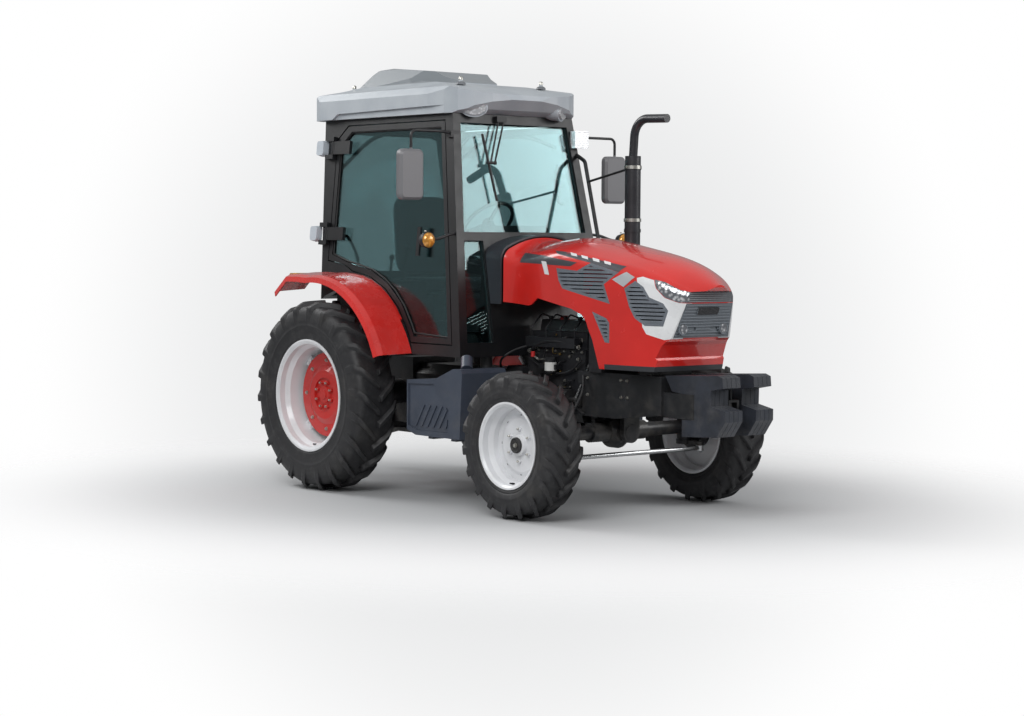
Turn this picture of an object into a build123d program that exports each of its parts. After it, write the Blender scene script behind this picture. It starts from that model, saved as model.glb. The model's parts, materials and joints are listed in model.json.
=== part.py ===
from build123d import *

import math
import os

# Utility farm tractor with four driven wheels and a glazed cab.
# Sizes are in millimetres. Along the tractor, x is measured from the rear axle, forwards.
# Each finished piece is moved by SHIFT_X, which puts the origin under the middle of the whole length.

# Wheels and axles
WHEELBASE = 2040
REAR_TYRE_R = 645
REAR_TYRE_WIDTH = 330
REAR_RIM_R = 381
REAR_BEAD_R = 356
REAR_RIM_WIDTH = 300
REAR_TRACK = 1640
REAR_DISC_R = 285
REAR_DISC_Y = 800
REAR_HUB_R = 115
REAR_SHAFT_R = 40
REAR_LUG_COUNT = 22
REAR_LUG_HEIGHT = 36
FRONT_TYRE_R = 455
FRONT_TYRE_WIDTH = 270
FRONT_RIM_R = 268
FRONT_BEAD_R = 250
FRONT_RIM_WIDTH = 240
FRONT_TRACK = 1560
FRONT_DISC_Y = 770
FRONT_HUB_R = 62
FRONT_SHAFT_R = 26
FRONT_LUG_COUNT = 18
FRONT_LUG_HEIGHT = 30
RIM_WALL = 7
DISC_WALL = 9
KINGPIN_Y = 600
KINGPIN_R = 22
AXLE_BEAM_Z = 500
AXLE_BEAM_R = 45
ENGINE_REAR_X = 1370
ENGINE_FRONT_X = WHEELBASE - 110
REAR_PLATE_X = 1350.3
DRIVE_SOCKET_X = 1400
FAN_Z = 1100
RADIATOR_REAR_X = WHEELBASE + 5
BATTERY_X = RADIATOR_REAR_X + 340
STEER_ARM = 150
STEER_ARM_Z = 370
TIE_ROD_R = 15
RUNNING_GAP = 0.05
FACE_GAP = 0.3
MOVING_GAP = 6

# Hood, measured on its outside
HOOD_REAR_X = 1335
HOOD_FRONT_X = 2955
HOOD_HALF_REAR = 352
HOOD_TOP_Z = 1722
HOOD_BOTTOM_Z = 917
HOOD_WALL = 12
HOOD_HINGE = (1360, 1672)
HOOD_PIN_R = 8
GRILLE_TOP_HALF = 196
GRILLE_LOW_HALF = 233
GRILLE_TOP_Z = 1335
GRILLE_LOW_Z = 1120
LIP_LOW_Z = 1402
LOW_LAMP_Y = 170
LOW_LAMP_Z = 1178
SHROUD_REAR_X = 1150
SHROUD_FRONT_X = HOOD_REAR_X - MOVING_GAP
SHROUD_BOTTOM_Z = 1292

# Cab
CAB_BOTTOM_Z = 950
CAB_TOP_Z = 2530
CAB_SILL_HALF = 660
CAB_SILL_Z = 1000
CAB_LEAN = 0.095
CAB_FRONT_X = 1277
CAB_FRONT_LEAN = 0.1776
CAB_REAR_X = -300
CAB_REAR_LEAN = 0.09
CAB_WALL = 52
GLASS = 6
DOOR_ARC_R = 845
DOOR_THICK = 34
DOOR_GAP = 8
DOOR_HINGE_X = -292
DOOR_FRAME = 38
FLOOR_TOP_Z = 975
DECK_TOP_Z = 1150
PLATE = 25

# Roof
ROOF_REAR_X = -568
ROOF_FRONT_X = 1150
ROOF_HALF = 565
ROOF_FRONT_HALF = 440
ROOF_EAVE_Z = 2531
ROOF_EDGE_Z = 2700
HUMP_TOP_Z = 2892

# Fenders
FENDER_R = 812
FENDER_INNER_R = 832
FENDER_OUTER_Y = 935
FENDER_INNER_Y = 666
FENDER_WALL = 10
FENDER_START = 22
FENDER_END = 96
WHEEL_ARCH_R = 720

# Front end
FRAME_HALF = 225
FRAME_PLATE = 24
FRAME_TOP_Z = 885
FRAME_BOTTOM_Z = 605
FRAME_REAR_X = ENGINE_FRONT_X + FACE_GAP
FRAME_FRONT_X = 2690
WEIGHT_FRONT_X = 3208
WEIGHT_THICK = 35
WEIGHT_PITCH = 37.5
WEIGHT_FIRST_Y = 57
WEIGHT_COUNT = 4
TOW_PIN_R = 11
BELT_ROOM = 9

# Hitch
LINK_PIN_X = -150
LINK_PIN_Z = 430
LINK_LENGTH = 800
LINK_DROP = 13
LINK_Y = 250
LINK_THICK = 20
LIFT_ARM = 330
LIFT_HEIGHT = 480
LIFT_ARM_Y = 196
LIFT_ROD_Y = 223
HITCH_PIN_R = 11
LINK_BALL_R = 11.2
LINK_EYE_R = 34
TOP_LINK_PIN = (-330, 790)
TOP_LINK_LENGTH = 560
TOP_LINK_PIN_R = 9.65
PTO_R = 17.5
PTO_Z = 540
DRAWBAR_Z = 340
DRAWBAR_END_X = -700
DRAWBAR_PIN_R = 13.5

# Exhaust
STACK_X = 1715
STACK_Y = 428
STACK_R = 52
STACK_TOP_Z = 2258
PIPE_R = 28

REAR_END_X = LINK_PIN_X - LINK_LENGTH * math.cos(math.radians(LINK_DROP)) - LINK_EYE_R
SHIFT_X = -(WEIGHT_FRONT_X + REAR_END_X) / 2
Y_AXIS = (0, 1, 0)


def box(x0, x1, y0, y1, z0, z1):
    """A block given by its two corners."""
    return Pos((x0 + x1) / 2, (y0 + y1) / 2, (z0 + z1) / 2) * Box(abs(x1 - x0), abs(y1 - y0), abs(z1 - z0))


def clear_of_cab(shape):
    """The shape with everything inside the cab's outside faces taken away."""
    return shape - cab_block(-FACE_GAP, 900, CAB_TOP_Z + 300)


def both(shape):
    """The shape and its mirror image on the other side of the tractor."""
    return shape + mirror(shape, about=Plane.XZ)


def side_prism(points, y0, y1):
    """A prism across the tractor from a side outline of (x, z) points."""
    face = make_face(Polyline(*[(x, y0, z) for x, z in points], close=True))
    return extrude(face, amount=y1 - y0, dir=Y_AXIS)


def plan_prism(points, z0, z1):
    """An upright prism from a plan outline of (x, y) points."""
    face = make_face(Polyline(*[(x, y, z0) for x, y in points], close=True))
    return extrude(face, amount=z1 - z0, dir=(0, 0, 1))


def front_prism(points, x0, x1):
    """A prism along the tractor from a front outline of (y, z) points."""
    face = make_face(Polyline(*[(x0, y, z) for y, z in points], close=True))
    return extrude(face, amount=x1 - x0, dir=(1, 0, 0))


def rod(start, end, radius):
    """A round bar between two points."""
    line = Vector(*end) - Vector(*start)
    plane = Plane(origin=start, z_dir=line)
    return extrude(plane * Circle(radius), amount=line.length)


def disc(x, z, radius, y0, y1):
    """A round piece whose axis runs across the tractor."""
    return rod((x, y0, z), (x, y1, z), radius)


def turned(x, z, profile):
    """A ring turned about a cross axis, from (radius, y) points."""
    face = make_face(Polyline(*[(x, y, z + r) for r, y in profile], close=True))
    return revolve(face, axis=Axis((x, 0, z), Y_AXIS), revolution_arc=360)


def bent_tube(points, radius, bend):
    """A tube along straight runs joined by arcs."""
    path = FilletPolyline(*points, radius=bend)
    start = Plane(origin=path @ 0, z_dir=path % 0)
    return sweep(start * Circle(radius), path=path)


def polar(x, z, radius, degrees):
    """The (x, z) point at an angle above the forward direction."""
    a = math.radians(degrees)
    return x + radius * math.cos(a), z + radius * math.sin(a)


def grown(points, by):
    """The outline with each side moved outwards by a distance."""
    count = len(points)
    following = points[1:] + points[:1]
    area = sum(a[0] * b[1] - b[0] * a[1] for a, b in zip(points, following))
    by = math.copysign(by, area * by)
    moved = []
    for k in range(count):
        (ax, az), (bx, bz), (cx, cz) = points[k - 1], points[k], points[(k + 1) % count]
        first = math.hypot(bx - ax, bz - az)
        second = math.hypot(cx - bx, cz - bz)
        nx, nz = (bz - az) / first, (ax - bx) / first
        mx, mz = (cz - bz) / second, (bx - cx) / second
        scale_by = by / (1 + nx * mx + nz * mz)
        moved.append((bx + (nx + mx) * scale_by, bz + (nz + mz) * scale_by))
    return moved


def at_turn(x, z, radius, y, degrees):
    """A place in space at a radius and an angle about a cross axis."""
    px, pz = polar(x, z, radius, degrees)
    return Vector(px, y, pz)


def flat_faces(a, b, c, d):
    """One flat face round four points, or two triangles where they don't share a plane."""
    if abs((b - a).cross(c - a).dot(d - a)) < 1:
        return [Face(Wire.make_polygon([a, b, c, d]))]
    return [Face(Wire.make_polygon([a, b, c])), Face(Wire.make_polygon([a, c, d]))]


def faceted(rows, closed):
    """A solid with flat faces through rows of like points; closed joins the last row to the first."""
    faces = []
    following = rows[1:] + rows[:1] if closed else rows[1:]
    for a, b in zip(rows, following):
        for j in range(len(a)):
            k = (j + 1) % len(a)
            faces += flat_faces(a[j], a[k], b[k], b[j])
    if not closed:
        faces += [Face(Wire.make_polygon(rows[0])), Face(Wire.make_polygon(rows[-1]))]
    return Solid(Shell(faces))


def hex_nut(x, z, width, y0, y1):
    """A six-sided nut whose axis runs across the tractor."""
    corners = [polar(x, z, width / 2, 60 * k) for k in range(6)]
    return side_prism(corners, y0, y1)


def cab_side_y(z):
    """Half width of the cab's outside at a height."""
    return CAB_SILL_HALF - CAB_LEAN * (z - CAB_SILL_Z)


def cab_front_x(z):
    """Front face of the cab at a height."""
    return CAB_FRONT_X - CAB_FRONT_LEAN * (z - CAB_SILL_Z)


def cab_rear_x(z):
    """Rear face of the cab at a height."""
    return CAB_REAR_X - CAB_REAR_LEAN * (z - CAB_SILL_Z)


# Wheels


def tyre(x, z, centre_y, radius, width, bead_r, rim_width, flange_r, lug_height, lug_count, sides):
    """A drive tyre: a many-sided ring of beads, walls and tread floor, with two rows of slanting lugs."""
    half = width / 2
    bead = rim_width / 2 - RIM_WALL - FACE_GAP
    seat = (bead_r + FACE_GAP) / math.cos(math.pi / sides)
    wall = (radius + bead_r) / 2
    floor = radius - lug_height
    edge = (flange_r + 1) / math.cos(math.pi / sides)
    outline = [(seat, -bead), (edge, -bead), (wall, -half), (floor - 30, -half + 8), (floor, -half + 46)]
    outline += [(r, -y) for r, y in reversed(outline)]
    rows = []
    for k in range(sides):
        rows.append([at_turn(x, z, r, centre_y + y, 360 * k / sides) for r, y in outline])
    ring = faceted(rows, True)
    lugs = []
    for side, shift in ((-1, 0), (1, 0.5)):
        for k in range(lug_count):
            start = 270 + 360 * (k + shift) / lug_count
            lugs.append(tyre_lug(x, z, centre_y, side, start, radius, floor, wall, half))
    return ring + lugs


def tyre_lug(x, z, centre_y, side, start, radius, floor, wall, half):
    """One lug from the middle of the tread, slanting back over the shoulder to the wall."""
    sections = [
        (5, radius, floor - 9, 0, 15),
        (half * 0.66, radius - 5, floor - 9, 9, 18),
        (half - 1.5, radius - 48, wall + 8, 14, 22),
    ]
    rows = []
    for y, tip, base, turn, wide in sections:
        spot = centre_y + side * y
        t = math.degrees(wide / radius)
        b = math.degrees((wide + 9) / radius)
        a = start + turn * REAR_TYRE_R / radius
        rows.append([
            at_turn(x, z, base, spot, a - b),
            at_turn(x, z, base, spot, a + b),
            at_turn(x, z, tip, spot, a + t),
            at_turn(x, z, tip, spot, a - t),
        ])
    return faceted(rows, False)


def rim_profile(flange_r, bead_r, rim_width, well):
    """Half outline of a rim, from its flange lip in to the drop centre."""
    half = rim_width / 2
    return [
        (flange_r, half), (flange_r, half - RIM_WALL), (bead_r, half - RIM_WALL), (bead_r, half - 55),
        (bead_r - well, half - 85)
    ]


def rim(x, z, centre_y, flange_r, bead_r, rim_width, well):
    """A wheel rim: two flanges, bead seats and a drop centre, as a thin turned wall."""
    outer = rim_profile(flange_r, bead_r, rim_width, well)
    inner = [(flange_r - RIM_WALL - 5, rim_width / 2), (bead_r - RIM_WALL, rim_width / 2 - 12)]
    inner += [(bead_r - RIM_WALL, rim_width / 2 - 52), (bead_r - well - RIM_WALL, rim_width / 2 - 82)]
    outline = outer + [(r, -y) for r, y in reversed(outer)]
    outline += [(r, -y) for r, y in inner] + list(reversed(inner))
    return turned(x, z, [(r, centre_y + y) for r, y in outline])


def rear_wheel_right():
    """Tyre, rim and dished disc of the right rear wheel."""
    y, z = -REAR_TRACK / 2, REAR_TYRE_R
    tyre_ring = tyre(
        0, z, y, REAR_TYRE_R, REAR_TYRE_WIDTH, REAR_BEAD_R, REAR_RIM_WIDTH, REAR_RIM_R,
        REAR_LUG_HEIGHT, REAR_LUG_COUNT, 28,
    )
    rim_ring = rim(0, z, y, REAR_RIM_R, REAR_BEAD_R, REAR_RIM_WIDTH, 22)
    barrel_r = REAR_BEAD_R - 22 - RIM_WALL
    for k in range(4):
        lug = box(-38, 38, -REAR_DISC_Y, -REAR_DISC_Y + 34, z + REAR_DISC_R - 30, z + barrel_r + 3)
        lug += hex_nut(-20, z + REAR_DISC_R + 14, 22, -REAR_DISC_Y - 10, -REAR_DISC_Y)
        lug += hex_nut(20, z + REAR_DISC_R + 14, 22, -REAR_DISC_Y - 10, -REAR_DISC_Y)
        rim_ring += lug.rotate(Axis((0, 0, z), Y_AXIS), 45 + 90 * k)
    disc_ring = rear_disc(z)
    return tyre_ring, rim_ring, disc_ring


def rear_disc(z):
    """Pressed disc with its hub flange, nuts and half shaft."""
    face_y = -REAR_DISC_Y - FACE_GAP
    profile = [
        (0, face_y),
        (REAR_DISC_R, face_y),
        (REAR_DISC_R, face_y - DISC_WALL),
        (205, face_y - DISC_WALL),
        (165, face_y - DISC_WALL - 22),
        (REAR_HUB_R, face_y - DISC_WALL - 22),
        (REAR_HUB_R, face_y - DISC_WALL - 8),
        (62, face_y - DISC_WALL - 8),
        (56, face_y - DISC_WALL - 24),
        (34, face_y - DISC_WALL - 24),
        (32, face_y - DISC_WALL - 34),
        (0, face_y - DISC_WALL - 34),
    ]
    piece = turned(0, z, profile)
    piece += disc(0, z, REAR_HUB_R, face_y, face_y + 34)
    piece += disc(0, z, REAR_SHAFT_R, face_y + 34, -REAR_DISC_Y + 200)
    for k in range(8):
        nx, nz = polar(0, z, 86, 45 * k + 22.5)
        piece += hex_nut(nx, nz, 30, face_y - DISC_WALL - 26, face_y - DISC_WALL)
    return piece


def front_wheel_right():
    """Tyre and one-piece rim, disc and hub of the right front wheel."""
    y, z, x = -FRONT_TRACK / 2, FRONT_TYRE_R, WHEELBASE
    tyre_ring = tyre(
        x, z, y, FRONT_TYRE_R, FRONT_TYRE_WIDTH, FRONT_BEAD_R, FRONT_RIM_WIDTH, FRONT_RIM_R,
        FRONT_LUG_HEIGHT, FRONT_LUG_COUNT, 24,
    )
    rim_ring = rim(x, z, y, FRONT_RIM_R, FRONT_BEAD_R, FRONT_RIM_WIDTH, 18)
    face_y = -FRONT_DISC_Y
    barrel_r = FRONT_BEAD_R - 18 - 2
    profile = [
        (0, face_y),
        (barrel_r, face_y),
        (barrel_r, face_y - DISC_WALL),
        (190, face_y - DISC_WALL),
        (165, face_y - DISC_WALL - 10),
        (FRONT_HUB_R + 6, face_y - DISC_WALL - 10),
        (FRONT_HUB_R, face_y - DISC_WALL - 34),
        (FRONT_HUB_R - 14, face_y - DISC_WALL - 38),
        (0, face_y - DISC_WALL - 38),
    ]
    rim_ring += turned(x, z, profile)
    rim_ring += disc(x, z, 82, face_y, face_y + 22)
    rim_ring += disc(x, z, FRONT_SHAFT_R, face_y + 22, face_y + 95)
    for k in range(6):
        nx, nz = polar(x, z, 100, 60 * k + 30)
        rim_ring += hex_nut(nx, nz, 27, face_y - DISC_WALL - 26, face_y - DISC_WALL - 9)
    return tyre_ring, rim_ring


# Front axle and steering


def front_axle():
    """Rigid driving axle: beam, differential and a bored boss at each kingpin."""
    end = KINGPIN_Y - 40
    beam = rod((WHEELBASE, -end, AXLE_BEAM_Z), (WHEELBASE, end, AXLE_BEAM_Z), AXLE_BEAM_R)
    beam += both(rod((WHEELBASE, 90, AXLE_BEAM_Z), (WHEELBASE, 230, AXLE_BEAM_Z), AXLE_BEAM_R + 16))
    for side in (-1, 1):
        boss = rod(
            (WHEELBASE, side * KINGPIN_Y, AXLE_BEAM_Z - 80),
            (WHEELBASE, side * KINGPIN_Y, AXLE_BEAM_Z + 80), 46
        )
        bore = rod(
            (WHEELBASE, side * KINGPIN_Y, 0), (WHEELBASE, side * KINGPIN_Y, 900),
            KINGPIN_R + RUNNING_GAP
        )
        beam = beam + boss - bore
    bulge = [(-118, 0), (-95, 62), (-40, 102), (25, 102), (80, 66), (98, 0)]
    casing = make_face(Polyline(*[(WHEELBASE + x, 0, AXLE_BEAM_Z - 5 + r) for x, r in bulge], close=True))
    beam += revolve(casing, axis=Axis((0, 0, AXLE_BEAM_Z - 5), (1, 0, 0)), revolution_arc=360)
    beam += rod((WHEELBASE - 190, 0, AXLE_BEAM_Z), (WHEELBASE + 150, 0, AXLE_BEAM_Z), 52)
    beam += rod((DRIVE_SOCKET_X, 0, AXLE_BEAM_Z), (WHEELBASE - 180, 0, AXLE_BEAM_Z), 30)
    return beam


def knuckle_right():
    """Steering knuckle: a yoke and pin round the axle's boss, the final drive and the steering arm."""
    y = -KINGPIN_Y
    low, high = AXLE_BEAM_Z - 80, AXLE_BEAM_Z + 80
    yoke = rod((WHEELBASE, y, low - 32), (WHEELBASE, y, low - 2), 52)
    yoke += rod((WHEELBASE, y, high + 2), (WHEELBASE, y, high + 32), 52)
    yoke += rod((WHEELBASE, y, low - 30), (WHEELBASE, y, high + 30), KINGPIN_R)
    yoke += box(WHEELBASE - 48, WHEELBASE + 48, y - 88, y - 54, low - 32, high + 32)
    yoke += box(WHEELBASE - 40, WHEELBASE + 40, y - 60, y, low - 32, low - 4)
    yoke += box(WHEELBASE - 40, WHEELBASE + 40, y - 60, y, high + 4, high + 32)
    hub_y = -FRONT_DISC_Y + 22 + MOVING_GAP
    yoke += disc(WHEELBASE, FRONT_TYRE_R, 96, hub_y, y - 56)
    yoke -= disc(WHEELBASE, FRONT_TYRE_R, FRONT_SHAFT_R + RUNNING_GAP, -FRONT_DISC_Y, -FRONT_DISC_Y + 96)
    arm_z = STEER_ARM_Z
    yoke += box(WHEELBASE, WHEELBASE + STEER_ARM, y - 16, y + 16, arm_z + 20, arm_z + 42)
    yoke += rod((WHEELBASE + STEER_ARM, y, arm_z + 20), (WHEELBASE + STEER_ARM, y, arm_z + 42), 26)
    yoke += rod((WHEELBASE + STEER_ARM, y, arm_z - 24), (WHEELBASE + STEER_ARM, y, arm_z + 24), 11)
    return yoke


def tie_rod():
    """Track rod between the two steering arms, with an eye at each end."""
    x, z = WHEELBASE + STEER_ARM, STEER_ARM_Z
    bar = rod((x, -KINGPIN_Y + 20, z), (x, KINGPIN_Y - 20, z), TIE_ROD_R)
    for side in (-1, 1):
        bar += rod((x, side * KINGPIN_Y, z - 17), (x, side * KINGPIN_Y, z + 17), 25)
    for side in (-1, 1):
        bar -= rod((x, side * KINGPIN_Y, z - 60), (x, side * KINGPIN_Y, z + 60), 11 + RUNNING_GAP)
    return bar


def front_frame():
    """Cast front support: two side plates, cross plates, axle hangers and the weight beam."""
    inner = FRAME_HALF - FRAME_PLATE
    outline = [
        (FRAME_REAR_X, FRAME_TOP_Z),
        (FRAME_FRONT_X, FRAME_TOP_Z),
        (FRAME_FRONT_X, 650),
        (WHEELBASE + 240, FRAME_BOTTOM_Z),
        (FRAME_REAR_X, FRAME_BOTTOM_Z),
    ]
    frame = both(side_prism(outline, inner, FRAME_HALF))
    frame += box(FRAME_REAR_X, FRAME_REAR_X + 34, -inner, inner, FRAME_BOTTOM_Z, FRAME_TOP_Z)
    frame += box(WHEELBASE, FRAME_FRONT_X, -inner, inner, FRAME_TOP_Z - 22, FRAME_TOP_Z)
    frame += box(FRAME_FRONT_X - 30, FRAME_FRONT_X, -inner, inner, 648, FRAME_TOP_Z)
    frame += box(FRAME_REAR_X, WHEELBASE + 170, -inner, inner, FRAME_BOTTOM_Z, FRAME_BOTTOM_Z + 36)
    frame += hanger(WHEELBASE + 112, FRAME_BOTTOM_Z) + hanger(WHEELBASE - 160, 597)
    frame += box(WHEELBASE - 160, FRAME_REAR_X + 12, -70, 70, 577, 597)
    frame += box(FRAME_REAR_X, FRAME_REAR_X + 12, -70, 70, 577, FRAME_BOTTOM_Z)
    reach = WEIGHT_FIRST_Y + WEIGHT_COUNT * WEIGHT_PITCH
    frame += box(FRAME_FRONT_X, 2949.7, -reach, reach, 640.3, 791.7)
    frame += both(box(2945, 3080, 26, 44, 690, 760))
    frame += rod((3050, 0, 660), (3050, 0, 860), TOW_PIN_R) + box(3020, 3080, -44, 44, 690, 704)
    frame += box(3020, 3080, -44, 44, 746, 760)
    return frame - front_prism(grown(belt_run(), BELT_ROOM), FRAME_REAR_X - 1, ENGINE_FRONT_X + 42)


def hanger(x, top):
    """Bored hanger that carries one end of the front axle's pivot tube."""
    piece = box(x, x + 36, -66, 66, AXLE_BEAM_Z, top)
    piece += rod((x, 0, AXLE_BEAM_Z), (x + 36, 0, AXLE_BEAM_Z), 66)
    return piece - rod((x - 5, 0, AXLE_BEAM_Z), (x + 41, 0, AXLE_BEAM_Z), 52 + FACE_GAP)


def front_weights():
    """Suitcase weights hung on the front beam, in two groups with the tow pin between them."""
    outline = [
        (2700, 893),
        (3143, 916),
        (3184, 902),
        (3190, 842),
        (3090, 824),
        (3088, 730),
        (WEIGHT_FRONT_X, 706),
        (WEIGHT_FRONT_X, 642),
        (3141, 549),
        (2848, 534),
        (2848, 636),
        (2950, 640),
        (2950, 792),
        (2846, 792),
        (2760, 802),
    ]
    stack = None
    for k in range(WEIGHT_COUNT):
        y = WEIGHT_FIRST_Y + k * WEIGHT_PITCH
        one = both(side_prism(outline, y, y + WEIGHT_THICK))
        stack = one if stack is None else stack + one
    return stack


# Engine, drive line and rear axle


def engine():
    """Engine as a block with sump, head, runners, filters, alternator, fan, pulleys and belt."""
    rear, front = ENGINE_REAR_X, ENGINE_FRONT_X
    mid = (rear + front) / 2
    block = box(rear, front, -165, 165, 600, 1010)
    block += front_prism([(-120, 605), (-100, 545), (100, 545), (120, 605)], rear + 30, front - 85)
    block += box(rear + 10, front - 10, -140, 140, 1010, 1120)
    block += front_prism([(-88, 1118), (-74, 1192), (74, 1192), (88, 1118)], rear + 30, front - 30)
    block += both(box(rear + 12, front - 12, 120, 172, 985, 1012))
    block += box(rear + 30, front - 50, -215, -180, 1020, 1085)
    block += box(rear + 70, front - 90, 165, 225, 930, 1010)
    for k in range(4):
        x = rear + 70 + k * (front - rear - 140) / 3
        block += rod((x, -100, 1075), (x, -190, 1055), 20)
        block += rod((x, -30, 1185), (x, -30, 1214), 15)
        block += bent_tube(
            [(x, -30, 1205), (x, -110, 1230), (x - 12, -186, 1140), (x - 12, -170, 985)], 5, 22
        )
    block += filter_can(mid - 95, -222, 660, 150, 48) + box(mid - 125, mid - 65, -200, -160, 770, 812)
    block += filter_can(mid + 5, -218, 850, 110, 38) + box(mid - 20, mid + 30, -200, -160, 925, 962)
    block += box(mid - 110, mid + 60, -225, -160, 880, 912)
    block += rod((front - 190, -225, 700), (front - 70, -225, 700), 62)
    block += box(front - 180, front - 90, -225, -160, 670, 730)
    block += rod((front - 70, -225, 700), (front + 24, -225, 700), 16)
    block += rod((front - 20, 0, FAN_Z), (front + 55, 0, FAN_Z), 30) + fan(front + 62)
    block += engine_belt(front)
    hose = [(front - 40, 70, 1150), (front + 20, 70, 1230), (front + 60, 70, 1360)]
    block += bent_tube(hose + [(RADIATOR_REAR_X - FACE_GAP, 70, 1360)], 22, 26)
    block += box(REAR_PLATE_X, rear + 1, -215, 215, 545, 880)
    block += box(REAR_PLATE_X, rear + 1, -80, 80, 450, 545)
    block += rod((REAR_PLATE_X, 0, AXLE_BEAM_Z), (DRIVE_SOCKET_X - FACE_GAP, 0, AXLE_BEAM_Z), 46)
    return block


def filter_can(x, y, z0, height, radius):
    """Upright spin-on filter with a rounded lower end and a six-sided head."""
    outline = [
        (0, z0), (radius - 12, z0), (radius, z0 + 12), (radius, z0 + height - 14),
        (0, z0 + height - 14)
    ]
    face = make_face(Polyline(*[(x + r, y, z) for r, z in outline], close=True))
    can = revolve(face, axis=Axis((x, y, 0), (0, 0, 1)), revolution_arc=360)
    corners = [polar(x, y, radius, 60 * k) for k in range(6)]
    return can + plan_prism(corners, z0 + height - 16, z0 + height)


def fan(x):
    """Cooling fan: hub and six pitched blades."""
    wheel = rod((x - 12, 0, FAN_Z), (x + 14, 0, FAN_Z), 62)
    for k in range(6):
        blade = box(x - 4, x + 4, -34, 34, FAN_Z + 50, FAN_Z + 195)
        blade = blade.rotate(Axis((x, 0, FAN_Z), (0, 0, 1)), 22)
        wheel += blade.rotate(Axis((x, 0, FAN_Z), (1, 0, 0)), 60 * k)
    return wheel


def belt_run():
    """Outline of the belt round its three pulleys, seen from the front."""
    run = [(58, FAN_Z + 18), (25, FAN_Z + 58), (-30, FAN_Z + 55), (-262, 718), (-258, 672)]
    return run + [(-225, 656), (0, 606), (58, 628), (84, 690)]


def engine_belt(front):
    """Crank, fan and alternator pulleys with the belt round them."""
    wheels = [(0, 690, 78), (0, FAN_Z, 58), (-225, 700, 40)]
    drive = rod((front - 5, 0, 690), (front + 30, 0, 690), 30)
    for y, z, r in wheels:
        drive += rod((front + 8, y, z), (front + 30, y, z), r)
    loop = front_prism(belt_run(), front + 12, front + 26)
    return drive + (loop - front_prism(grown(belt_run(), -9), front + 10, front + 28))


def radiator():
    """Radiator core with its shroud, filler neck, battery and air cleaner on the front support."""
    r = RADIATOR_REAR_X
    core = box(r + 45, r + 135, -255, 255, FRAME_TOP_Z, 1430)
    for k in range(9):
        x = r + 135
        core += box(x, x + 5, -235, 235, FRAME_TOP_Z + 60 + 54 * k, FRAME_TOP_Z + 84 + 54 * k)
    core += box(r, r + 45, -240, 240, FRAME_TOP_Z, 1410)
    core += rod((r + 90, 0, 1430), (r + 90, 0, 1468), 32)
    core += box(BATTERY_X, BATTERY_X + 200, -130, 130, FRAME_TOP_Z, 1080)
    core += rod((r + 155, 120, 1250), (r + 475, 120, 1250), 78) + box(r + 135, r + 185, 60, 160, 1180, 1240)
    return core


def transmission():
    """Clutch housing, gearbox and rear housing in line, with the front drive shaft's outlet."""
    case = front_prism(
        [(-215, 420), (215, 420), (215, 800), (150, 880), (-150, 880), (-215, 800)], 1150, 1350
    )
    case += front_prism(
        [(-150, 400), (150, 400), (170, 560), (170, 780), (120, 850), (-120, 850), (-170, 780), (-170, 560)],
        150, 1150
    )
    case += box(-250, 150, -185, 185, 430, 890)
    case += rod((1000, 0, AXLE_BEAM_Z), (1350, 0, AXLE_BEAM_Z), 46)
    case += box(-300, -250, -120, 120, 480, 860)
    case += box(-330, -250, -58, -34, 740, 860) + box(-330, -250, 34, 58, 740, 860)
    case += box(-440, -290, -14, 14, 700, 724) + box(-440, -410, -14, 14, 700, 742)
    for side in (-1, 1):
        ear = disc(TOP_LINK_PIN[0], TOP_LINK_PIN[1], 30, side * 34, side * 58)
        case += ear - disc(
            TOP_LINK_PIN[0], TOP_LINK_PIN[1], TOP_LINK_PIN_R + RUNNING_GAP, side * 20, side * 70
        )
        case -= disc(TOP_LINK_PIN[0], TOP_LINK_PIN[1], TOP_LINK_PIN_R + RUNNING_GAP, side * 20, side * 70)
    case += rod((-300, 0, PTO_Z), (-312, 0, PTO_Z), 62)
    case -= rod((-313, 0, PTO_Z), (-200, 0, PTO_Z), PTO_R + 8 + RUNNING_GAP)
    case += both(box(LINK_PIN_X - 60, LINK_PIN_X + 60, 185, 215, 390, 520))
    for side in (-1, 1):
        case += disc(LINK_PIN_X, LINK_PIN_Z, HITCH_PIN_R, side * 200, side * (LINK_Y + LINK_THICK / 2 + 14))
        case += disc(LINK_PIN_X, LINK_PIN_Z, 24, side * 200, side * (LINK_Y - LINK_THICK / 2 - 0.5))
        case += disc(LINK_PIN_X, LINK_PIN_Z + LIFT_HEIGHT, 44, side * 20, side * 183)
    case += box(LINK_PIN_X - 70, LINK_PIN_X + 90, -183, 183, 880, LINK_PIN_Z + LIFT_HEIGHT)
    case -= disc(LINK_PIN_X, LINK_PIN_Z + LIFT_HEIGHT, 26 + RUNNING_GAP, -190, 190)
    return case


def rear_axle():
    """Axle tubes bored for the half shafts, with the cab's rear pedestals."""
    end = REAR_DISC_Y - 34 - MOVING_GAP
    tube = rod((0, 185.2, REAR_TYRE_R), (0, 560, REAR_TYRE_R), 88)
    tube += rod((0, 560, REAR_TYRE_R), (0, end, REAR_TYRE_R), 72)
    tube += rod((0, end - 34, REAR_TYRE_R), (0, end, REAR_TYRE_R), 92)
    tube += box(-60, 60, 430, 520, REAR_TYRE_R, 1060) + rod(
        (0, 475, 1060), (0, 475, DECK_TOP_Z - PLATE - FACE_GAP), 42
    )
    tube -= disc(0, REAR_TYRE_R, REAR_SHAFT_R + RUNNING_GAP, REAR_DISC_Y - 201, REAR_DISC_Y)
    return both(tube)


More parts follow.
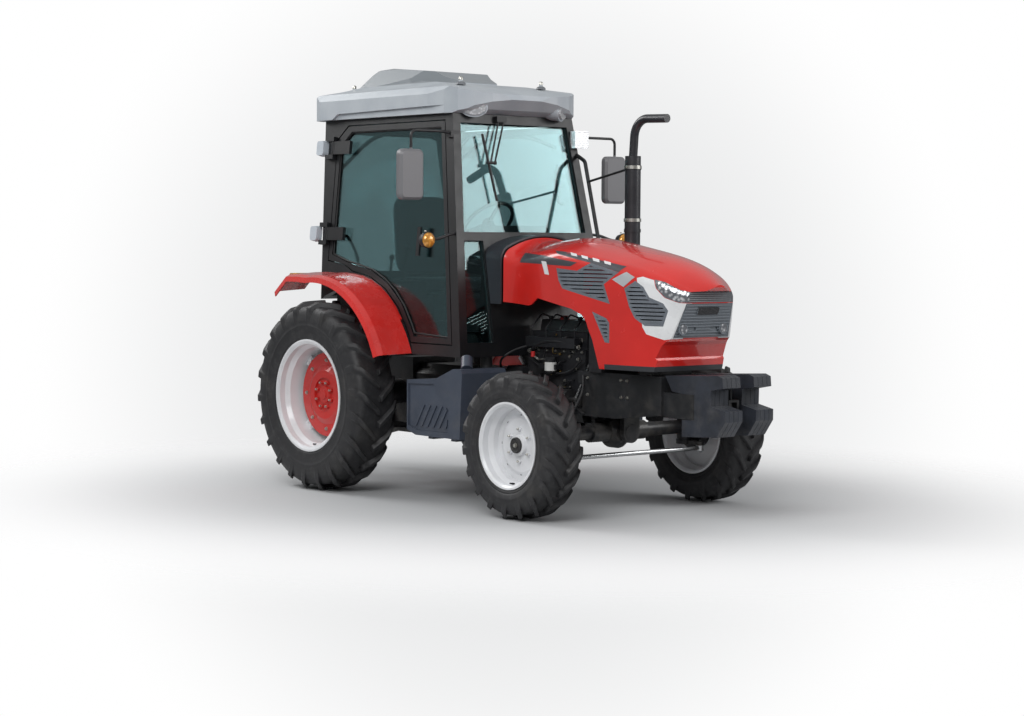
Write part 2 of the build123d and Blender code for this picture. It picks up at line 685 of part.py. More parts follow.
def drawbar():
    """Fixed drawbar with its pin hole and hanger plates under the rear housing."""
    bar = box(DRAWBAR_END_X + 35, 60, -36, 36, DRAWBAR_Z, DRAWBAR_Z + 28)
    bar += rod((DRAWBAR_END_X + 36, 0, DRAWBAR_Z), (DRAWBAR_END_X + 36, 0, DRAWBAR_Z + 28), 36)
    bar -= rod((DRAWBAR_END_X + 36, 0, 0), (DRAWBAR_END_X + 36, 0, 600), DRAWBAR_PIN_R)
    bar += box(-230, -190, -110, 110, DRAWBAR_Z + 28, 429.7) + box(0, 40, -110, 110, DRAWBAR_Z + 28, 429.7)
    return bar


def tank_outline():
    """Side outline of a side tank, with its raised front."""
    return [
        (885, 795), (1190, 815), (1370, 886), (1450, 886), (1462, 860), (1440, 440), (980, 440),
        (885, 470)
    ]


def fuel_tanks():
    """Moulded side tanks with a stepped top, slanting ribs and a filler neck."""
    inner, outer = 430, 790
    body = side_prism(tank_outline(), inner, outer)
    panel = [(900, 770), (1170, 780), (1330, 620), (1320, 475), (990, 470), (900, 500)]
    body -= side_prism(panel, outer - 10, outer + 5)
    for k in range(6):
        x = 960 + 62 * k
        rib = side_prism([(x, 500), (x + 22, 500), (x + 112, 640), (x + 90, 640)], outer - 12, outer - 2)
        body += rib & side_prism(
            [(910, 760), (1165, 770), (1310, 615), (1305, 490), (910, 500)], outer - 12, outer - 2
        )
    body += rod((1385, 690, 880), (1330, 645, 944), 38)
    body += both_straps()
    return both(body)


def both_straps():
    """Steel brackets that carry a tank on the gearbox side."""
    strap = box(1000, 1050, 172, 700, 412, 441) + box(1240, 1290, 215.3, 700, 412, 441)
    return strap + box(1000, 1050, 170.3, 195, 410, 600) + box(1240, 1290, 215.3, 240, 410, 600)


# Hood


def hood_station(x, half, top, corner_r):
    """One cross section of the hood: upright sides, round shoulders and an arched top."""
    low = HOOD_BOTTOM_Z - 10
    side = Line((half, low), (half, top - 60 - corner_r))
    corner = JernArc(start=side @ 1, tangent=(0, 1), radius=corner_r, arc_size=70)
    right = side + corner
    crown = ThreePointArc(corner @ 1, (0, top), (-(corner @ 1).X, (corner @ 1).Y))
    outline = right + crown + mirror(right, about=Plane.YZ) + Line((-half, low), (half, low))
    return Plane(origin=(x, 0, 0), x_dir=(0, 1, 0), z_dir=(1, 0, 0)) * make_face(outline)


def hood_side(inset):
    """Side outline that trims the hood: its arch over the axle, bumper, grille line and nose lip."""
    i = inset
    return [
        (HOOD_REAR_X, 1306),
        (HOOD_REAR_X, 1800),
        (HOOD_FRONT_X - i, 1800),
        (HOOD_FRONT_X - i, 1430),
        (2930 - i, 1408),
        (2878 - i, LIP_LOW_Z),
        (2870 - i, GRILLE_TOP_Z),
        (2793 - i, GRILLE_LOW_Z),
        (2764 - i, 1102),
        (2741 - i, 1078),
        (2700 - i, 1000),
        (2712 - i, 986),
        (2690 - i, HOOD_BOTTOM_Z),
        (2256, HOOD_BOTTOM_Z),
        (2193, 1096),
        (2161, 1153),
        (2139, 1204),
        (2102, 1244),
        (2005, 1281),
        (1809, 1315),
        (1665, 1339),
        (1595, 1294),
        (1559, 1288),
    ]


def hood_form(inset):
    """Solid form of the hood: a skin through its cross sections, trimmed to its side outline."""
    i = inset
    stations = [
        (HOOD_REAR_X - 1, HOOD_HALF_REAR - i, HOOD_TOP_Z - i, 95),
        (1780, HOOD_HALF_REAR - i, HOOD_TOP_Z - i, 95),
        (2150, HOOD_HALF_REAR - 4 - i, 1685 - i, 92),
        (2520, 322 - i, 1618 - i, 86),
        (2720, 280 - i, 1556 - i, 76),
        (2850, 212 - i, 1494 - i, 62),
        (HOOD_FRONT_X + 2, 96 - i, 1444 - i, 40),
    ]
    skin = loft([hood_station(*one) for one in stations])
    return skin & side_prism(hood_side(inset), -500, 500)


def long_vent_outline():
    """Side outline of the long vent in the hood's side."""
    return [
        (1863, 1532), (2054, 1517), (2169, 1568), (2413, 1513), (2290, 1438), (2342, 1319),
        (1921, 1405), (1883, 1457)
    ]


def low_vent_outline():
    """Side outline of the small vent in front of the axle arch."""
    return [(2191, 1268), (2313, 1230), (2339, 1203), (2340, 1079), (2302, 1082)]


def nose_vent_outline():
    """Side outline of the vent beside the headlamp."""
    return [
        (2462, 1417), (2550, 1464), (2610, 1429), (2654, 1366), (2744, 1332), (2775, 1288),
        (2746, 1193), (2624, 1194), (2547, 1237), (2501, 1308),
    ]


def nose_panel_outline():
    """Side outline of the white panel that wraps round the nose vent to the grille."""
    return [
        (2560, 1482), (2600, 1490), (2679, 1470), (2700, 1418), (2752, 1366), (2832, 1336), (2900, 1332),
        (2900, 1090), (2793, 1118), (2755, 1112), (2635, 1144), (2606, 1186),
    ]


def lamp_strip_outline():
    """Side outline of the headlamps and the band that joins them under the nose."""
    return [
        (2681, 1474), (2743, 1460), (2835, 1412), (2882, LIP_LOW_Z - 1), (2940, LIP_LOW_Z - 1),
        (2940, GRILLE_TOP_Z + 2), (2832, GRILLE_TOP_Z + 3), (2754, 1368), (2703, 1420),
    ]


def grille_opening(grow):
    """The grille's opening in the hood's front, grown all round by grow."""
    top, low = GRILLE_TOP_HALF + grow, GRILLE_LOW_HALF + grow
    high, base = GRILLE_TOP_Z - 3 + grow, GRILLE_LOW_Z + 3 - grow
    return front_prism([(-top, high), (top, high), (low, base), (-low, base)], 2600, 3000)


def hood_set():
    """Hood with its side vents and nose panels, all cut from one thin shell."""
    shell = hood_form(0) - hood_form(HOOD_WALL)
    vents = [long_vent_outline(), low_vent_outline(), nose_vent_outline()]
    openings = [side_prism(grown(one, FACE_GAP), 150, 500) for one in vents]
    white = side_prism(nose_panel_outline(), 150, 500) - grille_opening(FACE_GAP) - openings[2]
    vent_skins = [both(louvred(shell & side_prism(one, 150, 500), one)) for one in vents]
    panels = both(shell & white)
    lamps = shell & side_prism(lamp_strip_outline(), -500, 500)
    cuts = [both(cut) for cut in openings]
    cuts.append(both(side_prism(grown(nose_panel_outline(), FACE_GAP), 150, 500)))
    cuts.append(grille_opening(FACE_GAP))
    cuts.append(side_prism(grown(lamp_strip_outline(), FACE_GAP), -500, 500))
    rest = shell - cuts
    hx, hz = HOOD_HINGE
    ears = side_prism([(hx - 12, hz), (hx - 12, 1696), (hx + 30, 1696), (hx + 12, hz)], 82, 94)
    ears += disc(hx, hz, 13, 82, 94)
    rest = rest + both(ears)
    rest -= both(disc(hx, hz, HOOD_PIN_R + RUNNING_GAP, 60, 100))
    return rest, vent_skins, panels, lamps + both(low_lamp(0))


def louvred(skin, outline):
    """The vent skin with a row of slots through it, kept inside its rim."""
    low = min(z for _, z in outline)
    high = max(z for _, z in outline)
    slots = None
    z = low + 34
    while z < high - 22:
        slot = box(1700, 2900, -500, 500, z, z + 7)
        slots = slot if slots is None else slots + slot
        z += 24
    slots &= side_prism(grown(outline, -16), -500, 500)
    return skin - slots


def shroud():
    """Fixed arch between the hood and the cab's front wall."""
    x0, x1 = SHROUD_REAR_X, SHROUD_FRONT_X
    outer, middle, inner = [
        extrude(hood_station(x0, HOOD_HALF_REAR + out, HOOD_TOP_Z + out, 95), amount=x1 - x0, dir=(1, 0, 0))
        for out in (17, 7, -40)
    ]
    arch = outer - middle
    arch += (outer - inner) & box(x0, x0 + 90, -500, 500, SHROUD_BOTTOM_Z, 1900)
    hx, hz = HOOD_HINGE
    for side in (-1, 1):
        lug = side_prism(
            [(1170, 1500), (1170, 1536), (hx - 10, hz + 8), (hx + 8, hz - 10)], side * 64, side * 76
        )
        lug += disc(hx, hz, 13, side * 64, side * 76)
        arch += lug + disc(hx, hz, HOOD_PIN_R, side * 64, side * 98)
    return clear_of_cab(arch & box(x0, hx + 20, -500, 500, SHROUD_BOTTOM_Z, 1900))


# Cab


def cab_block(inset, z0, z1):
    """The cab's tapered block, taken in by inset on its four sides."""
    faces = []
    for z in (z0, z1):
        half, front, rear = cab_side_y(z) - inset, cab_front_x(z) - inset, cab_rear_x(z) + inset
        corners = [(rear, -half, z), (front, -half, z), (front, half, z), (rear, half, z)]
        faces.append(make_face(Polyline(*corners, close=True)))
    return loft(Sketch() + faces)


def side_plane():
    """Plane of the cab's right side, with its x forward and its y up the slope."""
    lean = math.atan(CAB_LEAN)
    up = (0, math.sin(lean), math.cos(lean))
    return Plane(
        origin=(0, -CAB_SILL_HALF, CAB_SILL_Z), x_dir=(1, 0, 0),
        z_dir=Vector(1, 0, 0).cross(Vector(*up))
    )


def on_side(x, z):
    """Side-plane coordinates of a point seen from the side."""
    return x, (z - CAB_SILL_Z) * math.hypot(1, CAB_LEAN)


def door_face(inset):
    """Door outline in the side plane, taken in by inset."""
    i = inset
    top, low = 2482 - i, 1030 + i
    arc = [polar(0, REAR_TYRE_R, DOOR_ARC_R + i, a) for a in (88, 74, 60, 46, 30)]
    front_top = cab_front_x(top) - 88 - i
    front_low = cab_front_x(low) - 88 - i
    rear = DOOR_HINGE_X + 22 + i
    points = [
        (front_low, low), (front_top, top), (rear + 120, top), (rear, top - 95), (rear, 1560 + i),
        (-70, 1530 + i * 0.6)
    ]
    last = math.degrees(math.asin((low - REAR_TYRE_R) / (DOOR_ARC_R + i)))
    points += arc + [polar(0, REAR_TYRE_R, DOOR_ARC_R + i, last)]
    return make_face(Polyline(*[on_side(x, z) for x, z in points], close=True))


def door_slab(inset, depth_in, depth_out):
    """Door-shaped slab between two depths, counted outwards from the side plane."""
    plane = side_plane()
    normal = plane.z_dir
    start = Plane(origin=plane.origin + normal * depth_out, x_dir=plane.x_dir, z_dir=normal)
    return extrude(start * door_face(inset), amount=-(depth_out - depth_in))


def door_right():
    """Right door: a frame the door's full depth, hinge straps, a handle and its pane."""
    frame = door_slab(0, -DOOR_THICK, 0) - door_slab(DOOR_FRAME, -DOOR_THICK - 5, 5)
    pane = door_slab(DOOR_FRAME + FACE_GAP, -DOOR_THICK / 2 - GLASS / 2, -DOOR_THICK / 2 + GLASS / 2)
    plane = side_plane()
    for z in (1740, 2335):
        sx, sy = on_side(DOOR_HINGE_X, z)
        strap = plane * (Pos(sx + 105, sy, 12) * Box(190, 90, 24))
        knuckle = plane * (Pos(sx, sy, 16) * Rot(90, 0, 0) * Cylinder(15, 90))
        pin_hole = plane * (Pos(sx, sy, 16) * Rot(90, 0, 0) * Cylinder(7 + RUNNING_GAP, 200))
        frame += strap + knuckle
        frame -= pin_hole
    frame += door_handle(plane)
    return frame, pane - latch_block(plane, FACE_GAP)


def latch_block(plane, grow):
    """Latch block set through the pane, grown all round by grow."""
    hx, hy = on_side(790, 1690)
    return plane * (Pos(hx, hy, -DOOR_THICK / 2) * Box(90 + 2 * grow, 60 + 2 * grow, DOOR_THICK + 2))


def door_handle(plane):
    """Grip handle on its latch block."""
    hx, hy = on_side(790, 1690)
    grip = plane * (Pos(hx, hy, 30) * Box(34, 190, 14))
    posts = plane * (
        Pos(hx, hy + 18, 12) * Box(24, 20, 28)
    ) + plane * (Pos(hx, hy - 18, 12) * Box(24, 20, 28))
    return grip + posts + latch_block(plane, 0)


def cab_frame():
    """Pillars, rails and sills of the cab as one welded shell with its openings cut."""
    shell = cab_block(0, CAB_BOTTOM_Z, CAB_TOP_Z) - cab_block(CAB_WALL, CAB_BOTTOM_Z - 1, CAB_TOP_Z + 1)
    for cutter in (door_slab(-DOOR_GAP, -CAB_WALL - 60, 60), windshield_cutter(0), rear_window_cutter(0)):
        shell -= cutter + mirror(cutter, about=Plane.XZ)
    shell -= both(low_window_cutter(0))
    shell -= disc(0, REAR_TYRE_R, WHEEL_ARCH_R, -900, 900)
    shell -= box(-600, 480, -560, 560, CAB_BOTTOM_Z - 10, DECK_TOP_Z - PLATE - 1)
    plane = side_plane()
    pins = None
    for z in (1740, 2335):
        sx, sy = on_side(DOOR_HINGE_X, z)
        for step in (-1, 1):
            leaf = plane * (Pos(sx - 30, sy + step * 62, 15) * Box(90, 30, 34))
            shell += both(leaf)
        pin = plane * (Pos(sx, sy, 16) * Rot(90, 0, 0) * Cylinder(7, 150))
        pins = pin if pins is None else pins + pin
    shell += both(pins)
    return shell


def hinge_covers():
    """Rounded caps over the fixed ends of the door hinges."""
    plane = side_plane()
    caps = None
    for z in (1740, 2335):
        sx, sy = on_side(DOOR_HINGE_X, z)
        outline = plane * (Pos(sx - 128, sy, 0.3) * RectangleRounded(92, 112, 26))
        cap = extrude(outline, amount=44, taper=8)
        caps = both(cap) if caps is None else caps + both(cap)
    return clear_of_cab(caps)


def windshield_cutter(inset):
    """Prism through the front wall for the windshield."""
    low, high = 1756 + inset, 2470 - inset
    half_low, half_high = cab_side_y(low) - 62 - inset, cab_side_y(high) - 62 - inset
    return front_prism([(-half_low, low), (half_low, low), (half_high, high), (-half_high, high)], 700, 1500)


def rear_window_cutter(inset):
    """Prism through the rear wall for the rear window."""
    low, high = 1480 + inset, 2440 - inset
    half_low, half_high = cab_side_y(low) - 70 - inset, cab_side_y(high) - 70 - inset
    return front_prism(
        [(-half_low, low), (half_low, low), (half_high, high), (-half_high, high)], -800, -150
    )


def low_window_cutter(inset):
    """Prism through the front wall for the window beside the hood."""
    low, high = 1040 + inset, 1700 - inset
    inner = HOOD_HALF_REAR + 22 + inset
    outer_low, outer_high = cab_side_y(low) - 62 - inset, cab_side_y(high) - 62 - inset
    return front_prism([(inner, low), (outer_low, low), (outer_high, high), (inner, high)], 900, 1500)


def cab_glass():
    """Windshield, rear window and the two low front windows, each a thin pane in its opening."""
    skin = CAB_WALL / 2
    sheet = cab_block(skin - GLASS / 2, CAB_BOTTOM_Z, CAB_TOP_Z)
    sheet -= cab_block(skin + GLASS / 2, CAB_BOTTOM_Z - 1, CAB_TOP_Z + 1)
    front = windshield_cutter(FACE_GAP) & sheet
    rear = rear_window_cutter(FACE_GAP) & sheet
    low = both(low_window_cutter(FACE_GAP)) & sheet
    return front + rear + low


def cab_floor():
    """Floor, riser, seat deck and the inner wings beside the wheels."""
    inner = 556
    front = cab_front_x(FLOOR_TOP_Z) - CAB_WALL - 3
    floor = box(455, front, -inner, inner, FLOOR_TOP_Z - PLATE, FLOOR_TOP_Z)
    floor += box(455, 480, -inner, inner, FLOOR_TOP_Z - PLATE, DECK_TOP_Z)
    floor += box(-240, 480, -inner, inner, DECK_TOP_Z - PLATE, DECK_TOP_Z)
    arch = [polar(0, REAR_TYRE_R, 800, a) for a in (88, 74, 60, 48)]
    wing = [(-240, DECK_TOP_Z), (-240, 1470)] + arch + [(480, DECK_TOP_Z)]
    floor += both(side_prism(wing, inner - 14, inner))
    return floor


def cab_mounts():
    """Front cab brackets on the clutch housing."""
    mount = box(1160, 1300, 215.2, 424, 820, 850)
    mount += rod((1200, 380, 850), (1200, 380, FLOOR_TOP_Z - PLATE - FACE_GAP), 40)
    return both(mount)


def roof():
    """Roof panel with a crowned deck and a tapering hump, bulged over its front lamps."""
    edge = [
        (ROOF_REAR_X + 12, 2531),
        (ROOF_REAR_X, 2585),
        (ROOF_REAR_X + 14, 2670),
        (ROOF_REAR_X + 60, 2706),
        (-380, 2730),
        (-200, 2776),
        (350, 2784),
        (700, 2752),
        (1000, 2704),
        (ROOF_FRONT_X - 12, 2660),
        (ROOF_FRONT_X, 2625),
        (1075, 2560),
        (1000, ROOF_EAVE_Z),
    ]
    half = [(ROOF_REAR_X, 440), (ROOF_REAR_X + 40, 530), (-440, ROOF_HALF), (800, ROOF_HALF), (950, 545)]
    half += [(1040, 500), (1098, 410), (1130, 280), (ROOF_FRONT_X, 120)]
    plan = half + [(x, -y) for x, y in reversed(half)]
    side = [
        (ROOF_HALF + 20, 2500), (ROOF_HALF + 20, 2580), (ROOF_HALF, 2660), (ROOF_HALF - 40, 2708),
        (420, 2734), (250, 2790)
    ]
    section = side + [(-y, z) for y, z in reversed(side)]
    slab = side_prism(edge, -700, 700) & plan_prism(plan, 2500, 2860) & front_prism(section, -700, 1300)
    slab -= both(side_prism([(-345, 2500), (-225, 2568), (985, 2584), (1040, 2500)], 545, 700))
    slab += both(clear_of_cab(lamp_bulge()))
    for x, z in ((876, 2700), (-330, 2700)):
        slab += both(rod((x, 347, z), (x, 347, z + 52), 8) + rod((x, 347, z + 46), (x, 347, z + 62), 13))
    return slab + roof_hump() - both(work_lamp(FACE_GAP))


def roof_hump():
    """Raised air intake housing, widest behind and narrowing forwards."""
    rise = [
        (-330, 2690), (-225, 2850), (-180, 2884), (-60, HUMP_TOP_Z), (440, 2846), (520, 2806),
        (640, 2770), (720, 2690)
    ]
    plan = [
        (-340, 330), (-200, 345), (260, 300), (720, 120), (720, -120), (260, -300), (-200, -345),
        (-340, -330)
    ]
    across = [
        (-365, 2680), (-335, 2760), (-240, 2878), (-180, 2900), (180, 2900), (240, 2878), (335, 2760),
        (365, 2680)
    ]
    return side_prism(rise, -500, 500) & plan_prism(plan, 2680, 2960) & front_prism(across, -700, 1300)


def lamp_place():
    """Where a front roof lamp sits and which way it looks."""
    return Pos(1052, -376, 2568) * Rot(0, 0, -32) * Rot(0, 96, 0)


def lamp_bulge():
    """Rim of the roof that bulges round one front lamp."""
    return lamp_place() * Pos(0, 0, -110) * extrude(Ellipse(62, 92), amount=116)


def fender_profile(shift, degrees, grow=0, depth=0):
    """Cross section of a fender at an angle round the wheel, its radius moved by shift.

    Its outside is moved out by grow and its inside is moved in by depth.
    """
    outer = [(FENDER_INNER_R, FENDER_INNER_Y), (FENDER_R + 4, FENDER_OUTER_Y - 46)]
    outer += [(FENDER_R - 12, FENDER_OUTER_Y - 8), (FENDER_R - 48, FENDER_OUTER_Y)]
    inner = [(FENDER_R - 48, FENDER_OUTER_Y - 9), (FENDER_R - 20, FENDER_OUTER_Y - 18)]
    inner += [(FENDER_R - 6, FENDER_OUTER_Y - 52), (FENDER_INNER_R - FENDER_WALL, FENDER_INNER_Y)]
    points = [at_turn(0, REAR_TYRE_R, r + shift + grow, y, degrees) for r, y in outer]
    points += [at_turn(0, REAR_TYRE_R, r + shift - depth, y, degrees) for r, y in inner]
    return Face(Wire.make_polygon(points))


def fenders():
    """Rear wheel covers: a turned band with a rolled edge, and a raised tail that falls away behind."""
    axis = Axis((0, 0, REAR_TYRE_R), Y_AXIS)
    band = revolve(fender_profile(0, FENDER_END), axis=axis, revolution_arc=FENDER_END - FENDER_START)
    tail = loft([fender_profile(0, FENDER_END), fender_profile(26, 104)], ruled=True)
    tail += loft([fender_profile(26, 104), fender_profile(62, 112)], ruled=True)
    tail += loft([fender_profile(62, 112), fender_profile(32, 124)], ruled=True)
    web = [polar(0, REAR_TYRE_R, FENDER_INNER_R - 5, a) for a in range(40, FENDER_END, 8)]
    web += [polar(0, REAR_TYRE_R, WHEEL_ARCH_R + 10, a) for a in range(FENDER_END - 8, 39, -8)]
    plate = clear_of_cab(side_prism(web, 600, FENDER_INNER_Y + 6))
    return both(band + tail + plate)


# Cab fittings


def seat_frame():
    """Seat pedestal, pan and back board."""
    frame = box(40, 340, -150, 150, DECK_TOP_Z + FACE_GAP, DECK_TOP_Z + 150)
    frame += box(-10, 430, -230, 230, DECK_TOP_Z + 150, DECK_TOP_Z + 185)
    frame += box(-70, -40, -60, 60, DECK_TOP_Z + 150, 1900)
    frame += box(-70, 0, -60, 60, DECK_TOP_Z + 150, DECK_TOP_Z + 185)
    return frame


def seat_cushions():
    """Seat cushion and back cushion as plain pads."""
    base = box(-5, 440, -240, 240, DECK_TOP_Z + 185.3, DECK_TOP_Z + 290)
    back = side_prism([(-39.7, 1460), (60, 1460), (10, 2010), (-39.7, 2010)], -235, 235)
    return base + back


def dashboard():
    """Console with the steering column."""
    body = side_prism(
        [(820, 975.3), (1120, 975.3), (1110, 1300), (1080, 1730), (1010, 1790), (900, 1760), (860, 1500)],
        -150, 150
    )
    body += side_prism([(870, 1600), (1105, 1600), (1080, 1730), (1010, 1800), (900, 1765)], -290, 290)
    body += rod((930, 0, 1640), (755.1, 0, 1804.6), 34)
    return body


def steering_wheel():
    """Rim, three spokes and boss, square to the column."""
    plane = Plane(origin=(742, 0, 1817), z_dir=(-170, 0, 160))
    section = [polar(185, 0, 13, 45 * k) for k in range(8)]
    hoop = make_face(Polyline(*[(r, 0, h) for r, h in section], close=True))
    wheel = plane * revolve(hoop, axis=Axis.Z, revolution_arc=360)
    wheel += plane * Cylinder(38, 34)
    for k in range(3):
        wheel += plane * (Rot(0, 0, 120 * k + 60) * Pos(95, 0, 0) * Box(190, 26, 12))
    return wheel


def knob(x, y, z, radius):
    """Lever knob: a short barrel with tapered ends."""
    outline = [
        (0, z - radius), (radius * 0.6, z - radius), (radius, z - 4), (radius, z + 6),
        (radius * 0.6, z + radius), (0, z + radius)
    ]
    face = make_face(Polyline(*[(x + r, y, h) for r, h in outline], close=True))
    return revolve(face, axis=Axis((x, y, 0), (0, 0, 1)), revolution_arc=360)


def levers():
    """Gear and range levers, pedals and the side console."""
    side = side_prism([(60, 1150.3), (455, 1150.3), (440, 1420), (100, 1440)], 300, 520)
    side += rod((300, 400, 1400), (340, 380, 1640), 9) + knob(341, 380, 1650, 22)
    side += rod((200, 430, 1400), (215, 420, 1570), 9) + knob(216, 420, 1580, 20)
    left = rod(
        (620, 180, 990), (660, 170, 1400), 10
    ) + box(600, 640, 160, 200, 975.3, 995) + knob(661, 170, 1410, 22)
    pedals = box(900, 1000, -320, -230, 1080, 1096) + rod((960, -275, 1085), (1085, -275, 990), 10)
    pedals += box(1070, 1100, -290, -260, 975.3, 1000)
    return [side, mirror(side, about=Plane.XZ), left, pedals]


def mirror_arm(grow):
    """Bent tube that carries the right mirror, its radius grown by grow."""
    return bent_tube(
        [(1012, -535, 2397), (1040, -640, 2405), (1040, -880, 2405), (1040, -880, 2280)], 9 + grow, 40
    )


def mirrors():
    """Rear-view mirrors on bent arms from the front pillars."""
    plane = Plane(origin=(1012, -880, 2122), x_dir=(0, 1, 0), z_dir=(1, 0, 0))
    head = extrude(plane * RectangleRounded(190, 325, 38), amount=34)
    front = Plane(
        origin=(1046, -880, 2122), x_dir=(0, 1, 0), z_dir=(1, 0, 0)
    ) * RectangleRounded(190, 325, 38)
    head += extrude(front, amount=16, taper=45)
    foot = box(975, 1030, -548, -480, 2372, 2418)
    return both(clear_of_cab(mirror_arm(0) + foot) + head)


def exhaust():
    """Upright silencer with clamps, a bent tail pipe and its lower elbow to the engine."""
    stack = rod((STACK_X, STACK_Y, 1380), (STACK_X, STACK_Y, STACK_TOP_Z), STACK_R)
    for z in (1760, 2170):
        stack += rod((STACK_X, STACK_Y, z), (STACK_X, STACK_Y, z + 22), STACK_R + 4)
    bend = [
        (STACK_X, STACK_Y, STACK_TOP_Z - 20), (STACK_X + 20, STACK_Y, 2500),
        (STACK_X + 320, STACK_Y, 2492)
    ]
    stack += bent_tube(bend, PIPE_R, 120)
    stack += bent_tube(
        [(STACK_X, STACK_Y, 1400), (STACK_X, STACK_Y, 975), (STACK_X, 225.4, 975)], PIPE_R, 90
    )
    return stack


def stack_stay():
    """Bent stay from the left front pillar down to the cowl, with a link to the silencer."""
    stay = bent_tube([(1030, 530, 2290), (1160, 500, 2240), (1420, 398, 1700), (1450, 398, 1030)], 13, 60)
    stay += box(1435, 1475, 225.3, 412, 985, 1030)
    stay += rod((1232, 470, 2100), (STACK_X - 20, STACK_Y, 2180), 8)
    stay -= rod((STACK_X, STACK_Y, 1400), (STACK_X, STACK_Y, 2300), STACK_R + 4 + FACE_GAP)
    return clear_of_cab(stay)


def wipers():
    """Windshield wiper with its twin arms and blade, and the motor cover."""
    z_top, z_low = 2500, 2210
    x_top, x_low = cab_front_x(z_top) + 22, cab_front_x(z_low) + 24
    arm = rod(
        (x_top, -150, z_top), (x_low, -260, z_low), 6
    ) + rod((x_top, -105, z_top), (x_low, -225, z_low), 6)
    arm += rod((cab_front_x(2400) + 16, -300, 2400), (cab_front_x(1960) + 16, -235, 1960), 9)
    arm += rod((x_low, -290, z_low), (x_low, -215, z_low), 11)
    arm += box(x_top - 40, x_top + 8, -170, -85, z_top - 18, z_top + 20)
    return clear_of_cab(arm)


def work_lamp(grow):
    """One oval work lamp set in the roof's front corner, grown all round by grow."""
    return lamp_place() * Pos(0, 0, -40) * extrude(Ellipse(46 + grow, 76 + grow), amount=60 + grow)


def work_lights():
    """Oval work lights in the roof's front corners and a box lamp on the left front pillar."""
    pod = box(1030.5, 1082, -600, -480, 2330, 2445) - mirror_arm(FACE_GAP)
    pod = mirror(pod, about=Plane.XZ)
    return clear_of_cab(both(work_lamp(0)) + pod)


def marker_lamps():
    """Side marker lamps on short stalks, and rear lamps on the fenders."""
    face = Plane(origin=(1152, -895, 1702), x_dir=(0, 1, 0), z_dir=(1, 0, 0)) * Ellipse(64, 52)
    lamp = extrude(face, amount=46) + extrude(Pos(46, 0, 0) * face, amount=22, taper=38)
    lamp += clear_of_cab(rod((1110, -500, 1738), (1175, -850, 1712), 11))
    low = [polar(0, REAR_TYRE_R, FENDER_R + 40, 121), polar(0, REAR_TYRE_R, FENDER_R + 62, 114)]
    low += [polar(0, REAR_TYRE_R, FENDER_R + 96, 115), polar(0, REAR_TYRE_R, FENDER_R + 70, 122)]
    return both(lamp) + both(side_prism(low, 700, 850) - fender_space())


def fender_space():
    """The fender tail and the room inside it, which the rear lamps leave free."""
    ends = [fender_profile(62, 112, FACE_GAP, 60), fender_profile(32, 124, FACE_GAP, 60)]
    return loft(ends, ruled=True)


# Parts that ride on the hood


def grille():
    """Front grille: a sloping panel with fine ribs, a blank plate and rims round the low lamps."""
    slope = (2870 - 2793) / (GRILLE_TOP_Z - GRILLE_LOW_Z)
    front = [(2866, GRILLE_TOP_Z), (2789, GRILLE_LOW_Z), (2771, GRILLE_LOW_Z), (2848, GRILLE_TOP_Z)]
    panel = side_prism(front, -300, 300) & grille_opening(0)
    ribs = None
    for k in range(11):
        z = GRILLE_LOW_Z + 16 + 18 * k
        x = 2793 + slope * (z - GRILLE_LOW_Z)
        rib = box(x - 20, x + 2, -300, 300, z, z + 6)
        ribs = rib if ribs is None else ribs + rib
    panel += ribs & grille_opening(-8)
    plate_x = 2793 + slope * (1265 - GRILLE_LOW_Z)
    plate = [
        (plate_x + 6, 1265), (plate_x + 6 + 40 * slope, 1305), (plate_x - 8 + 40 * slope, 1305),
        (plate_x - 8, 1265)
    ]
    panel += side_prism(plate, -88, 88)
    for side in (-1, 1):
        y0, y1 = sorted((side * 62, side * 122))
        panel -= box(2804, 2860, y0, y1, 1166, 1190)
        panel += rod((2776, side * LOW_LAMP_Y, LOW_LAMP_Z), (2819, side * LOW_LAMP_Y, LOW_LAMP_Z), 36)
    return panel - both(low_lamp(FACE_GAP))


def low_lamp(grow):
    """One round lamp low in the grille, grown all round by grow."""
    return rod((2772, LOW_LAMP_Y, LOW_LAMP_Z), (2822 + grow, LOW_LAMP_Y, LOW_LAMP_Z), 28 + grow)


# Hitch


def link_point(distance):
    """The (x, z) point on a lower link's centre line."""
    a = math.radians(LINK_DROP)
    return LINK_PIN_X - distance * math.cos(a), LINK_PIN_Z - distance * math.sin(a)


def lift_arms():
    """Rockshaft with its two lift arms."""
    top = LINK_PIN_Z + LIFT_HEIGHT
    ex, ez = link_point(LIFT_ARM)
    ez += LIFT_HEIGHT
    shaft = disc(LINK_PIN_X, top, 26, -LIFT_ARM_Y - 12, LIFT_ARM_Y + 12)
    arm = side_prism(
        [(LINK_PIN_X, top + 34), (ex, ez + 20), (ex, ez - 20), (LINK_PIN_X, top - 34)],
        LIFT_ARM_Y - 10, LIFT_ARM_Y + 10
    )
    arm += disc(
        LINK_PIN_X, top, 38, LIFT_ARM_Y - 10, LIFT_ARM_Y + 10
    ) + disc(ex, ez, 24, LIFT_ARM_Y - 10, LIFT_ARM_Y + 10)
    arm += disc(ex, ez, HITCH_PIN_R, LIFT_ARM_Y, LIFT_ROD_Y + 22)
    return shaft + both(arm)


